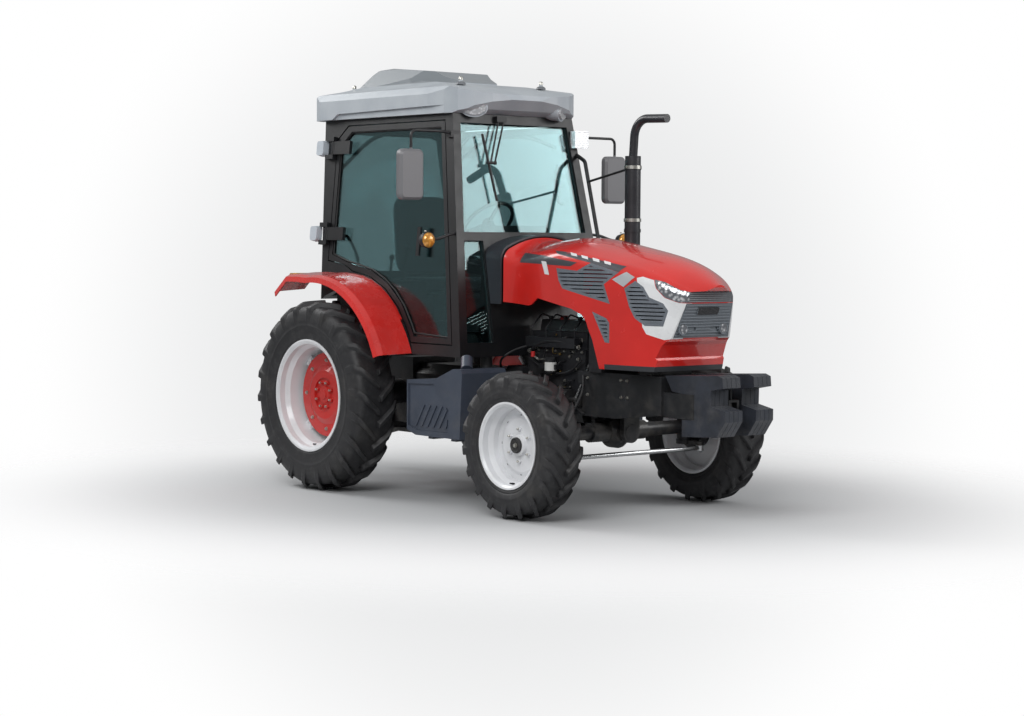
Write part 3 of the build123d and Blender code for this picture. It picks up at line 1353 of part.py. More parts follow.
def lift_rods():
    """Upright rods between the lift arms and the lower links, with an eye at each end."""
    ex, ez = link_point(LIFT_ARM)
    y0, y1 = LIFT_ROD_Y - 10, LIFT_ROD_Y + 10
    one = disc(ex, ez, 25, y0, y1) + disc(ex, ez + LIFT_HEIGHT, 25, y0, y1)
    one += rod((ex, LIFT_ROD_Y, ez), (ex, LIFT_ROD_Y, ez + LIFT_HEIGHT), 9.5)
    one += rod((ex, LIFT_ROD_Y, ez + 150), (ex, LIFT_ROD_Y, ez + 340), 16)
    for z in (ez, ez + LIFT_HEIGHT):
        one -= disc(ex, z, HITCH_PIN_R + RUNNING_GAP, y0 - 5, y1 + 5)
    return both(one)


def lower_links():
    """Lower links with a bored eye at the front, a lift rod pin and a ball eye at the back."""
    y0, y1 = LINK_Y - LINK_THICK / 2, LINK_Y + LINK_THICK / 2
    ax, az = link_point(0)
    mx, mz = link_point(LIFT_ARM)
    bx, bz = link_point(LINK_LENGTH)
    a = math.radians(LINK_DROP)
    nx, nz = -math.sin(a) * 27, math.cos(a) * 27
    bar = side_prism(
        [(ax + nx, az + nz), (bx + nx, bz + nz), (bx - nx, bz - nz), (ax - nx, az - nz)], y0, y1
    )
    bar += disc(ax, az, LINK_EYE_R, y0, y1) + disc(bx, bz, LINK_EYE_R, y0 - 10, y1 + 10)
    bar += disc(mx, mz, HITCH_PIN_R, LIFT_ROD_Y - 22, y0 + 5)
    bar -= disc(ax, az, HITCH_PIN_R + RUNNING_GAP, y0 - 20, y1 + 20)
    bar -= disc(bx, bz, LINK_BALL_R, y0 - 30, y1 + 30)
    return both(bar)


def top_link():
    """Screw-adjusted top link with an eye at each end and its front pin."""
    x, z = TOP_LINK_PIN
    a = math.radians(6)
    end = (x - TOP_LINK_LENGTH * math.cos(a), z - TOP_LINK_LENGTH * math.sin(a))
    bar = rod((x, 0, z), (end[0], 0, end[1]), 12)
    p = [(x + (end[0] - x) * t, 0, z + (end[1] - z) * t) for t in (0.25, 0.75)]
    bar += rod(p[0], p[1], 20)
    bar += disc(x, z, 26, -22, 22) + disc(end[0], end[1], 26, -22, 22)
    bar -= disc(end[0], end[1], TOP_LINK_PIN_R, -40, 40)
    bar += disc(x, z, TOP_LINK_PIN_R, -72, 72)
    return bar


def pto_shaft():
    """Splined power take-off shaft."""
    shaft = rod((-200, 0, PTO_Z), (-318, 0, PTO_Z), PTO_R + 8)
    shaft += rod((-318, 0, PTO_Z), (-395, 0, PTO_Z), PTO_R)
    return shaft


def export(name, shape):
    """Writes one named piece, moved to the shared origin."""
    solids = [s for one in (shape if isinstance(shape, list) else [shape]) for s in one.solids()]
    export_step(Pos(SHIFT_X, 0, 0) * Compound(children=solids), f"parts/{name}.step")


def main():
    os.makedirs("parts", exist_ok=True)
    rear_tyre, rear_rim, disc_part = rear_wheel_right()
    front_tyre, front_rim = front_wheel_right()
    door, pane = door_right()
    hood_shell, vents, panels, lamps = hood_set()
    handed = {
        "rear_tyre": rear_tyre,
        "rear_rim": rear_rim,
        "rear_disc": disc_part,
        "front_tyre": front_tyre,
        "front_rim": front_rim,
        "knuckle": knuckle_right(),
        "door_frame": door,
        "door_glass": pane,
    }
    for name, shape in handed.items():
        export(name + "_right", shape)
        export(name + "_left", mirror(shape, about=Plane.XZ))
    single = [
        front_axle, tie_rod, front_frame, front_weights, engine, radiator, transmission, rear_axle, drawbar,
        fuel_tanks, shroud, cab_frame, hinge_covers, cab_glass, cab_floor, cab_mounts, roof, fenders,
        seat_frame, seat_cushions, dashboard, steering_wheel, levers, mirrors, exhaust, stack_stay, wipers,
        work_lights, marker_lamps, grille, lift_arms, lift_rods, lower_links, top_link, pto_shaft,
    ]
    export("hood", hood_shell)
    export("side_vents", vents)
    export("nose_panels", panels)
    export("headlights", lamps)
    for build in single:
        export(build.__name__, build())


if __name__ == "__main__":
    main()
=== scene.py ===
import json
import math

import bmesh
import bpy
import numpy as np
from mathutils import Matrix, Vector
from mathutils.bvhtree import BVHTree


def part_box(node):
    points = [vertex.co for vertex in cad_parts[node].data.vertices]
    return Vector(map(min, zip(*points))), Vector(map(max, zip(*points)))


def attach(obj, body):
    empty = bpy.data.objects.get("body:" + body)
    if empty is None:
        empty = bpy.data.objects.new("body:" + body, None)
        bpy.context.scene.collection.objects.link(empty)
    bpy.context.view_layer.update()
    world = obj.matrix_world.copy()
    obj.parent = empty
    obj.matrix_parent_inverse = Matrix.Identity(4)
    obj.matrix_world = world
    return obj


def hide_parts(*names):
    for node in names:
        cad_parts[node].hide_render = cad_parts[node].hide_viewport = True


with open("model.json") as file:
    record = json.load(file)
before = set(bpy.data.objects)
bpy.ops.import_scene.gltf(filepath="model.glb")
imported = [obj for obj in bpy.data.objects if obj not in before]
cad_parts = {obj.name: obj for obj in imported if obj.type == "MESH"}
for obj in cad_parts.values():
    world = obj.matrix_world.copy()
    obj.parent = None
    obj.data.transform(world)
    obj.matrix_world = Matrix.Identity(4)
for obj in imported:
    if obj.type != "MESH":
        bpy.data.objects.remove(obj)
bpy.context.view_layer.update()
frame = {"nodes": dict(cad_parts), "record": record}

# The part's own x is measured from the middle of its length. Here x is measured from the rear axle.
AXLE_X = float(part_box("rear_tyre_right")[0][0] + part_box("rear_tyre_right")[1][0]) / 2

# Wheels, in metres, and the two sides with their signs in y
WHEELBASE = 2.04
REAR_R = 0.645
FRONT_R = 0.455
SIDES = ((-1, "right"), (1, "left"))

# Places in metres where a piece changes from one finish to another
HOOD_LIP_Z = 0.948
NOSE_X = 2.30 + AXLE_X
ROOF_TOP_Z = 2.762
MIRROR_TOP_Z = 2.292
PLATE_HALF, PLATE_LOW_Z, PLATE_TOP_Z = 0.088, 1.263, 1.308
BOWL_Y = (0.165, 0.185)
LOW_LAMP_Z = (1.28, 1.30)


# Materials


class Signal:
    """A node's output socket, so that shader maths reads as an expression."""

    def __init__(self, finish, socket):
        self.finish = finish
        self.socket = socket

    def _maths(self, operation, *values):
        return self.finish.node("ShaderNodeMath", {"operation": operation}, dict(enumerate(values)))

    def __add__(self, other):
        return self._maths("ADD", self, other)

    def __sub__(self, other):
        return self._maths("SUBTRACT", self, other)

    def __rsub__(self, other):
        return self._maths("SUBTRACT", other, self)

    def __mul__(self, other):
        return self._maths("MULTIPLY", self, other)

    def __truediv__(self, other):
        return self._maths("DIVIDE", self, other)

    def __pow__(self, other):
        return self._maths("POWER", self, other)

    def __gt__(self, other):
        return self._maths("GREATER_THAN", self, other)

    def __lt__(self, other):
        return self._maths("LESS_THAN", self, other)

    def size(self):
        return self._maths("ABSOLUTE", self)

    def sine(self):
        return self._maths("SINE", self)

    def most(self, other):
        return self._maths("MAXIMUM", self, other)

    def step(self, low, high):
        """A smooth rise from 0 at low to 1 at high."""
        return self.finish.node(
            "ShaderNodeMapRange",
            {"interpolation_type": "SMOOTHSTEP"},
            {"Value": self, "From Min": low, "From Max": high},
        )


class Finish:
    """One material and its node tree."""

    def __init__(self, name):
        self.material = bpy.data.materials.new(name)
        self.material.use_nodes = True
        self.tree = self.material.node_tree
        self.tree.nodes.clear()
        self.output = self.tree.nodes.new("ShaderNodeOutputMaterial")

    def node(self, kind, settings, values, output=0):
        """Adds a node, sets its settings first and then its sockets, and returns one output."""
        made = self.tree.nodes.new(kind)
        for key, value in settings.items():
            setattr(made, key, value)
        for key, value in values.items():
            self.feed(made.inputs[key], value)
        return Signal(self, made.outputs[output])

    def feed(self, socket, value):
        """Links a signal to a socket, or sets the socket's own value."""
        if isinstance(value, Signal):
            self.tree.links.new(value.socket, socket)
        elif hasattr(socket.default_value, "__len__") and len(socket.default_value) == 4:
            socket.default_value = (*value[:3], 1.0)
        else:
            socket.default_value = value

    def place(self, scale=(1, 1, 1)):
        """Object coordinates in metres, scaled."""
        where = self.node("ShaderNodeTexCoord", {}, {}, "Object")
        return self.node("ShaderNodeMapping", {}, {"Vector": where, "Scale": scale})

    def axis(self, letter):
        """One coordinate of the surface, in metres."""
        return self.node("ShaderNodeSeparateXYZ", {}, {"Vector": self.place()}, letter)

    def ribs(self, letter, rate):
        """Even ribs between 0 and 1 along one coordinate, at a rate in radians a metre."""
        return (self.axis(letter) * rate).sine() * 0.5 + 0.5

    def noise(self, scale, detail=3.0, roughness=0.55, stretch=(1, 1, 1)):
        """Cloudy noise between 0 and 1."""
        settings = {"noise_dimensions": "3D"}
        values = {"Vector": self.place(stretch), "Scale": scale, "Detail": detail, "Roughness": roughness}
        return self.node("ShaderNodeTexNoise", settings, values)

    def cells(self, scale):
        """Distance to the nearest point of a cell pattern."""
        values = {"Vector": self.place(), "Scale": scale}
        return self.node("ShaderNodeTexVoronoi", {"feature": "F1"}, values, "Distance")

    def blend(self, factor, first, second):
        """A colour between two colours."""
        settings = {"data_type": "RGBA"}
        return self.node("ShaderNodeMix", settings, {0: factor, 6: first, 7: second}, 2)

    def bump(self, height, strength, distance):
        """A normal tilted by a height."""
        values = {"Height": height, "Strength": strength, "Distance": distance}
        return self.node("ShaderNodeBump", {}, values)

    def principled(self, **values):
        """The main shader, with its sockets named in words."""
        names = {
            "colour": "Base Color", "rough": "Roughness", "metal": "Metallic", "normal": "Normal",
            "coat": "Coat Weight", "coat_rough": "Coat Roughness", "shine": "Specular IOR Level",
            "sheen": "Sheen Weight",
        }
        return self.node("ShaderNodeBsdfPrincipled", {}, {names[k]: v for k, v in values.items()})

    def close(self, shader):
        """Joins a shader to the output and returns the material."""
        self.tree.links.new(shader.socket, self.output.inputs["Surface"])
        return self.material


def tint(colour, amount):
    """The colour made lighter or darker by a share."""
    return tuple(max(0.0, min(1.0, c * amount)) for c in colour)


def dusty(f, colour, strength):
    """A colour with fine dust that settles towards the ground."""
    cloud = f.noise(9, 5, 0.6)
    dust = (1 - f.axis("Z").step(*DUST_Z)) * cloud.step(0.42, 0.75) * strength
    return f.blend(dust, colour, DUST)


def sprayed(f, colour, rough):
    """Colour, roughness and normal of gloss paint: slight clouding and a faint orange-peel skin."""
    mixed = f.blend(f.noise(3.5, 2, 0.5).step(0.3, 0.7), tint(colour, 0.93), tint(colour, 1.05))
    wipe = f.noise(14, 4, 0.6).step(0.35, 0.75) * 0.08 + rough
    skin = f.bump(f.noise(260, 2, 0.5), 0.05, 0.0006)
    return mixed, wipe, skin


def enamel(name, colour, rough, coat):
    """Sprayed gloss paint with a little dust."""
    f = Finish(name)
    mixed, wipe, skin = sprayed(f, colour, rough)
    shader = f.principled(colour=dusty(f, mixed, 0.10), rough=wipe, coat=coat, coat_rough=0.06, normal=skin)
    return f.close(shader)


def casting(name, colour, grain, rough):
    """Painted casting: sandy skin, soft wear and dust in the low places."""
    f = Finish(name)
    sand = f.noise(grain, 6, 0.65)
    patch = f.noise(7, 3, 0.55)
    mixed = f.blend(patch.step(0.35, 0.7), tint(colour, 0.8), tint(colour, 1.25))
    skin = f.bump(sand, 0.35, 0.002)
    shader = f.principled(colour=dusty(f, mixed, 0.22), rough=sand * 0.18 + rough - 0.09, normal=skin)
    return f.close(shader)


def moulded(name, colour, rough, grain=420, depth=0.18):
    """Moulded plastic with a fine leather-like spark texture."""
    f = Finish(name)
    spark = f.cells(grain)
    patch = f.noise(5, 3, 0.5)
    mixed = f.blend(patch.step(0.3, 0.7), tint(colour, 0.92), tint(colour, 1.08))
    skin = f.bump(spark, depth, 0.0008)
    shader = f.principled(colour=dusty(f, mixed, 0.12), rough=patch * 0.1 + rough - 0.05, normal=skin)
    return f.close(shader)


def tyre_rubber():
    """Tyre rubber: matt black with moulding marks, scuffs and pale dust between the lugs."""
    f = Finish("tyre_rubber")
    fine = f.noise(320, 4, 0.6)
    scuff = f.noise(22, 5, 0.65)
    mixed = f.blend(scuff.step(0.45, 0.8), (0.017, 0.017, 0.019), (0.040, 0.040, 0.041))
    skin = f.bump(fine + scuff * 0.6, 0.28, 0.0015)
    dust = f.noise(6, 4, 0.6).step(0.5, 0.8) * 0.10
    powdered = f.blend(dust, mixed, (0.20, 0.18, 0.15))
    shader = f.principled(colour=powdered, rough=scuff * 0.2 + 0.46, normal=skin, shine=0.5)
    return f.close(shader)


def glazing():
    """Tinted safety glass: light passes with a blue-green tint, and the edges mirror more."""
    f = Finish("glass_tint")
    edge = f.node("ShaderNodeFresnel", {}, {"IOR": 1.45})
    smear = f.noise(4, 4, 0.6).step(0.45, 0.85)
    clear = f.node("ShaderNodeBsdfTransparent", {}, {"Color": (0.71, 0.82, 0.83)})
    shine = f.principled(colour=(0.62, 0.74, 0.75), rough=smear * 0.03 + 0.01, metal=1.0)
    return f.close(f.node("ShaderNodeMixShader", {}, {0: edge * 0.75 + 0.02, 1: clear, 2: shine}))


def perforated(name, colour, pitch):
    """Moulded mesh: rows of round holes painted near black, as the shaded dark parts seen through them, seen
    from the side and from the front.
    """
    f = Finish(name)
    turn = 2 * math.pi / pitch
    across = ((f.axis("X") + f.axis("Y")) * turn).sine()
    upright = (f.axis("Z") * turn).sine()
    hole = (across * upright).step(0.10, 0.42)
    web = f.noise(6, 3, 0.5)
    mixed = f.blend(web.step(0.3, 0.7), tint(colour, 0.9), tint(colour, 1.12))
    # Painted shade: the holes are coloured near black for the shaded dark parts seen through them.
    pierced = f.blend(hole, mixed, tint(colour, 0.16))
    skin = f.bump(1 - hole, 0.5, 0.002)
    return f.close(f.principled(colour=pierced, rough=hole * 0.3 + 0.34, normal=skin))


def lens(name, colour):
    """Clear lamp lens with fine upright flutes over a bright reflector."""
    f = Finish(name)
    flutes = f.ribs("Y", 900) + f.ribs("Z", 500)
    mixed = f.blend(f.cells(60).step(0.15, 0.6), colour, tint(colour, 0.62))
    skin = f.bump(flutes, 0.25, 0.001)
    shader = f.principled(colour=mixed, rough=0.08, metal=0.35, coat=1.0, coat_rough=0.03, normal=skin)
    return f.close(shader)


def bright_metal(name, colour, rough):
    """Plated or machined steel with fine scratches."""
    f = Finish(name)
    scratches = f.noise(60, 4, 0.6, (1, 14, 1))
    mixed = f.blend(scratches.step(0.35, 0.7), tint(colour, 0.85), tint(colour, 1.1))
    skin = f.bump(scratches, 0.1, 0.0008)
    return f.close(f.principled(colour=mixed, metal=1.0, rough=scratches * 0.2 + rough - 0.1, normal=skin))


def seat_cloth():
    """Woven seat cloth with a fine ribbed weave."""
    f = Finish("seat_cloth")
    weft = (f.axis("X") * 2200 + f.axis("Z") * 2200).sine() * 0.5 + 0.5
    weave = f.ribs("Y", 2600) * weft
    mixed = f.blend(weave, (0.018, 0.019, 0.022), (0.07, 0.072, 0.08))
    shader = f.principled(colour=mixed, rough=0.9, sheen=0.3, normal=f.bump(weave, 0.5, 0.0012))
    return f.close(shader)


def floor_mat():
    """Ribbed rubber floor mat."""
    f = Finish("floor_mat")
    worn = f.noise(12, 4, 0.6)
    mixed = f.blend(worn.step(0.4, 0.8), (0.03, 0.03, 0.032), (0.08, 0.075, 0.07))
    skin = f.bump(f.ribs("Y", 420), 0.6, 0.003)
    return f.close(f.principled(colour=mixed, rough=worn * 0.2 + 0.6, normal=skin))


def hood_paint():
    """Gloss red hood, with its lowest edge moulded in dark grey."""
    f = Finish("hood_paint")
    mixed, wipe, skin = sprayed(f, RED, 0.2)
    lip = (1 - f.axis("Z").step(HOOD_LIP_Z - 0.001, HOOD_LIP_Z + 0.001)) * (f.axis("X") > NOSE_X)
    edged = f.blend(lip, mixed, (0.035, 0.037, 0.042))
    gloss = (1 - lip) * 0.8
    shader = f.principled(colour=edged, rough=wipe + lip * 0.25, coat=gloss, coat_rough=0.05, normal=skin)
    return f.close(shader)


def roof_shell():
    """Pale grey roof with a darker intake housing on top."""
    f = Finish("roof_shell")
    housing = f.axis("Z").step(ROOF_TOP_Z - 0.003, ROOF_TOP_Z + 0.003)
    patch = f.noise(5, 3, 0.5)
    pale = f.blend(patch.step(0.3, 0.7), (0.42, 0.46, 0.50), (0.48, 0.52, 0.555))
    mixed = f.blend(housing, pale, (0.27, 0.295, 0.315))
    skin = f.bump(f.cells(500), 0.05, 0.0008)
    return f.close(f.principled(colour=mixed, rough=patch * 0.1 + 0.3, normal=skin))


def mirror_finish():
    """Grey mirror heads on black tube arms."""
    f = Finish("mirror_finish")
    arm = f.axis("Z").step(MIRROR_TOP_Z - 0.001, MIRROR_TOP_Z + 0.001)
    mixed = f.blend(arm, (0.17, 0.17, 0.18), (0.012, 0.012, 0.014))
    skin = f.bump(f.cells(420), 0.12, 0.0008)
    return f.close(f.principled(colour=mixed, rough=0.4, normal=skin))


def grille_finish():
    """Perforated grey grille, its holes painted near black as the shaded parts seen through them, with a
    plain dark plate in its middle.
    """
    f = Finish("grille_finish")
    turn = 2 * math.pi / 0.010
    hole = ((f.axis("Y") * turn).sine() * (f.axis("Z") * turn).sine()).step(0.15, 0.45)
    plate = (f.axis("Y").size() < PLATE_HALF) * (f.axis("Z") > PLATE_LOW_Z) * (f.axis("Z") < PLATE_TOP_Z)
    # Painted shade: the holes are coloured near black for the shaded parts seen through them.
    mesh = f.blend(hole, (0.24, 0.27, 0.305), (0.035, 0.038, 0.043))
    mixed = f.blend(plate, mesh, (0.02, 0.021, 0.024))
    skin = f.bump(1 - hole, 0.5, 0.002)
    return f.close(f.principled(colour=mixed, rough=0.36 - plate * 0.12, normal=skin))


def headlamp_finish():
    """Chrome bowls with bright and dark facets painted as reflections, joined by a dark band whose ribs are
    painted light and dark as their light and shade. The low lamps have the painted facets all over.
    """
    f = Finish("headlamp_finish")
    bowl = f.axis("Y").size().step(*BOWL_Y).most(1 - f.axis("Z").step(*LOW_LAMP_Z))
    facet = f.cells(42)
    # Painted reflections: bright and dark cells in the chrome bowls' colour stand in for reflected light.
    bright = f.blend(facet.step(0.1, 0.6), (0.88, 0.89, 0.91), (0.20, 0.21, 0.23))
    # Painted light and shade: the band's ribs are coloured alternately light and dark, and have no bump of
    # their own.
    band = f.blend(f.ribs("Z", 520), (0.05, 0.052, 0.058), (0.30, 0.31, 0.33))
    mixed = f.blend(bowl, band, bright)
    skin = f.bump(facet, 0.6, 0.004)
    shader = f.principled(
        colour=mixed, rough=0.12, metal=bowl * 0.3 + 0.15, coat=1.0, coat_rough=0.03, normal=skin
    )
    return f.close(shader)


RED = (0.66, 0.020, 0.015)
DUST = (0.33, 0.30, 0.26)
DUST_Z = (0.2, 1.1)
looks = {
    "red_paint": enamel("red_paint", RED, 0.24, 0.8),
    "disc_red": enamel("disc_red", tint(RED, 0.85), 0.34, 0.5),
    "rim_white": enamel("rim_white", (0.74, 0.75, 0.77), 0.34, 0.4),
    "panel_white": enamel("panel_white", (0.78, 0.79, 0.80), 0.26, 0.6),
    "cab_black": enamel("cab_black", (0.005, 0.0055, 0.007), 0.42, 0.05),
    "black_frame": casting("black_frame", (0.016, 0.017, 0.019), 220, 0.42),
    "engine_black": casting("engine_black", (0.013, 0.0135, 0.016), 150, 0.36),
    "weight_grey": casting("weight_grey", (0.028, 0.032, 0.042), 180, 0.40),
    "tyre_rubber": tyre_rubber(),
    "tank_grey": moulded("tank_grey", (0.050, 0.062, 0.088), 0.40),
    "roof_grey": moulded("roof_grey", (0.50, 0.55, 0.60), 0.36, 500, 0.05),
    "shroud_grey": moulded("shroud_grey", (0.032, 0.036, 0.044), 0.42),
    "grille_grey": perforated("grille_grey", (0.19, 0.215, 0.25), 0.009),
    "mirror_shell": moulded("mirror_shell", (0.16, 0.17, 0.185), 0.42),
    "trim_black": moulded("trim_black", (0.013, 0.013, 0.015), 0.45),
    "exhaust_metal": casting("exhaust_metal", (0.030, 0.031, 0.036), 90, 0.30),
    "glass_tint": glazing(),
    "lamp_clear": lens("lamp_clear", (0.90, 0.92, 0.95)),
    "lamp_amber": lens("lamp_amber", (0.95, 0.42, 0.06)),
    "seat_cover": seat_cloth(),
    "bright_steel": bright_metal("bright_steel", (0.60, 0.61, 0.62), 0.28),
    "floor_mat": floor_mat(),
}
extra = {
    "decal_grey": enamel("decal_grey", (0.055, 0.058, 0.068), 0.32, 0.3),
    "decal_white": enamel("decal_white", (0.78, 0.79, 0.80), 0.30, 0.4),
    "decal_silver": enamel("decal_silver", (0.46, 0.48, 0.50), 0.32, 0.4),
    "hose_rubber": moulded("hose_rubber", (0.014, 0.014, 0.016), 0.55, 300, 0.1),
    "zinc": bright_metal("zinc", (0.55, 0.54, 0.50), 0.34),
    "brass": bright_metal("brass", (0.55, 0.40, 0.16), 0.32),
    "cap_red": moulded("cap_red", (0.45, 0.02, 0.02), 0.4),
    "filter_white": moulded("filter_white", (0.70, 0.70, 0.68), 0.4),
    "seal_black": moulded("seal_black", (0.010, 0.010, 0.011), 0.6, 200, 0.05),
}

own_finish = {
    "hood": hood_paint(),
    "roof": roof_shell(),
    "mirrors": mirror_finish(),
    "grille": grille_finish(),
    "headlights": headlamp_finish(),
}


def dress_frame():
    """Gives every CAD node its own finish, or the material of its slot."""
    slots = {part["node"]: part["material_slot"] for part in frame["record"]["subparts"]}
    for node, thing in frame["nodes"].items():
        thing.data.materials.clear()
        thing.data.materials.append(own_finish.get(node, looks[slots[node]]))


dress_frame()


# Surfaces. Each new piece is worked out on grids of points, in metres from the rear axle.


def mesh_piece(name, sheets, finishes, body, crease=35, closed=True):
    """One object from grids of points. Each sheet is (grid, loop rows, loop columns, finish number).

    Point (i, j) joins (i + 1, j), (i + 1, j + 1) and (i, j + 1). A looped side also joins its last to its
    first. Edges that turn by more than the crease, in degrees, stay sharp.
    """
    verts, faces, marks, base = [], [], [], 0
    for grid, loop_rows, loop_columns, mark in sheets:
        rows, columns = grid.shape[:2]
        i = np.arange(rows if loop_rows else rows - 1)
        j = np.arange(columns if loop_columns else columns - 1)
        i, j = np.meshgrid(i, j, indexing="ij")
        under, right = (i + 1) % rows, (j + 1) % columns
        corners = [i * columns + j, i * columns + right, under * columns + right, under * columns + j]
        quads = np.stack(corners, -1).reshape(-1, 4) + base
        verts.append(grid.reshape(-1, 3))
        faces.append(quads)
        marks.append(np.full(len(quads), mark))
        base += rows * columns
    points = np.concatenate(verts) + np.array([AXLE_X, 0.0, 0.0])
    mesh = bpy.data.meshes.new(name)
    mesh.from_pydata(points.tolist(), [], np.concatenate(faces).tolist())
    mesh.polygons.foreach_set("material_index", np.concatenate(marks).astype(np.int32))
    for finish in finishes:
        mesh.materials.append(finish)
    work = bmesh.new()
    work.from_mesh(mesh)
    bmesh.ops.remove_doubles(work, verts=work.verts, dist=1e-6)
    bmesh.ops.dissolve_degenerate(work, edges=work.edges, dist=1e-6)
    if closed:
        bmesh.ops.recalc_face_normals(work, faces=work.faces)
    work.to_mesh(mesh)
    work.free()
    mesh.shade_smooth()
    mesh.set_sharp_from_angle(angle=math.radians(crease))
    thing = bpy.data.objects.new(name, mesh)
    bpy.context.collection.objects.link(thing)
    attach(thing, body)
    return thing


def frames_along(path):
    """Side and up directions that turn as little as they can along a path of points."""
    ahead = np.gradient(path, axis=0)
    ahead /= np.linalg.norm(ahead, axis=1, keepdims=True)
    up = np.array([0, 0, 1.0]) if abs(ahead[0, 2]) < 0.9 else np.array([1.0, 0, 0])
    sides = []
    for direction in ahead:
        up = up - direction * np.dot(up, direction)
        up /= np.linalg.norm(up)
        sides.append(up.copy())
    sides = np.array(sides)
    return np.cross(ahead, sides), sides


def smooth_path(points, steps):
    """Catmull-Rom curve through the points: each span is a cubic whose slope at a point is half the
    difference of that point's neighbours."""
    p = np.array(points, float)
    p = np.vstack([2 * p[0] - p[1], p, 2 * p[-1] - p[-2]])
    t = np.linspace(0, 1, steps, endpoint=False)[:, None]
    spans = []
    for a, b, c, d in zip(p[:-3], p[1:-2], p[2:-1], p[3:]):
        span = 2 * b + (c - a) * t + (2 * a - 5 * b + 4 * c - d) * t**2
        spans.append(0.5 * (span + (3 * b - a - 3 * c + d) * t**3))
    return np.vstack(spans + [p[-2:-1]])


def tube(points, radius, around=10, steps=8, mark=0):
    """Round bar along a smooth path: centre + radius (cos t side + sin t up), its ends drawn to a point."""
    path = smooth_path(points, steps)
    side, up = frames_along(path)
    t = np.linspace(0, 2 * math.pi, around, endpoint=False)
    ring = np.cos(t)[None, :, None] * side[:, None, :] + np.sin(t)[None, :, None] * up[:, None, :]
    grid = path[:, None, :] + ring * radius
    first = np.repeat(path[:1, None, :], around, 1)
    last = np.repeat(path[-1:, None, :], around, 1)
    return np.concatenate([first, grid, last]), False, True, mark


def corner_loop(points, radius, around):
    """Closed round bar along straight runs with mitred corners: centre + radius (cos t out + sin t flat),
    where flat is square to the loop's plane and out is stretched by 1 / cos(half the turn) at a corner."""
    p = np.array(points, float)
    before = p - np.roll(p, 1, 0)
    after = np.roll(p, -1, 0) - p
    before /= np.linalg.norm(before, axis=1, keepdims=True)
    after /= np.linalg.norm(after, axis=1, keepdims=True)
    ahead = before + after
    ahead /= np.linalg.norm(ahead, axis=1, keepdims=True)
    flat = np.cross(p[1] - p[0], p[2] - p[0])
    flat /= np.linalg.norm(flat)
    out = np.cross(ahead, flat)
    out /= np.linalg.norm(out, axis=1, keepdims=True)
    out /= np.sqrt(np.clip((1 + (before * after).sum(1)) / 2, 0.2, 1))[:, None]
    t = np.linspace(0, 2 * math.pi, around, endpoint=False)
    ring = np.cos(t)[None, :, None] * out[:, None, :] + np.sin(t)[None, :, None] * flat[None, None, :]
    return p[:, None, :] + radius * ring, True, True, 0


def turned(profile, centre, axis, around=24, corners=0, mark=0):
    """Surface turned about an axis from (along, radius) points. With corners, its plan is a regular polygon:
    the radius is multiplied by cos(pi / n) / cos(angle to the nearest side's middle)."""
    axis = np.array(axis, float)
    axis /= np.linalg.norm(axis)
    side = np.cross(axis, (0.0, 0.0, 1.0) if abs(axis[2]) < 0.9 else (1.0, 0.0, 0.0))
    side /= np.linalg.norm(side)
    up = np.cross(axis, side)
    t = np.linspace(0, 2 * math.pi, around, endpoint=False)
    shape = np.ones(around)
    if corners:
        sector = 2 * math.pi / corners
        shape = math.cos(sector / 2) / np.cos((t + sector / 2) % sector - sector / 2)
    along, radius = np.array(profile, float).T
    ring = np.cos(t)[:, None] * side + np.sin(t)[:, None] * up
    spokes = (radius[:, None] * shape)[:, :, None] * ring[None]
    grid = np.array(centre, float) + along[:, None, None] * axis + spokes
    return grid, False, True, mark


def hex_bolt(centre, axis, width, mark=0):
    """Bolt head with a washer: a washer disc, six flats and a bevelled top."""
    w = width / 2
    washer = turned([(0, 0), (0, w * 1.35), (w * 0.22, w * 1.35), (w * 0.22, 0)], centre, axis, 18, 0, mark)
    head = [(w * 0.2, 0), (w * 0.2, w * 1.1), (w * 1.0, w * 1.1), (w * 1.22, w * 0.92), (w * 1.22, 0)]
    return [washer, turned(head, centre, axis, 12, 6, mark)]


# Tyres


# A tyre's grid has this many columns from one lug to the next. The first of them cross the lug, from foot
# to foot, and are raised by these shares of its height.
PITCH_COLUMNS = 16
LUG_RISE = (0, 0.10, 0.93, 1, 1, 1, 0.93, 0.10, 0)
LUG_FOOT = 0.009
CROWN_RISE = 0.003
FOOT_HEIGHT = 0.024


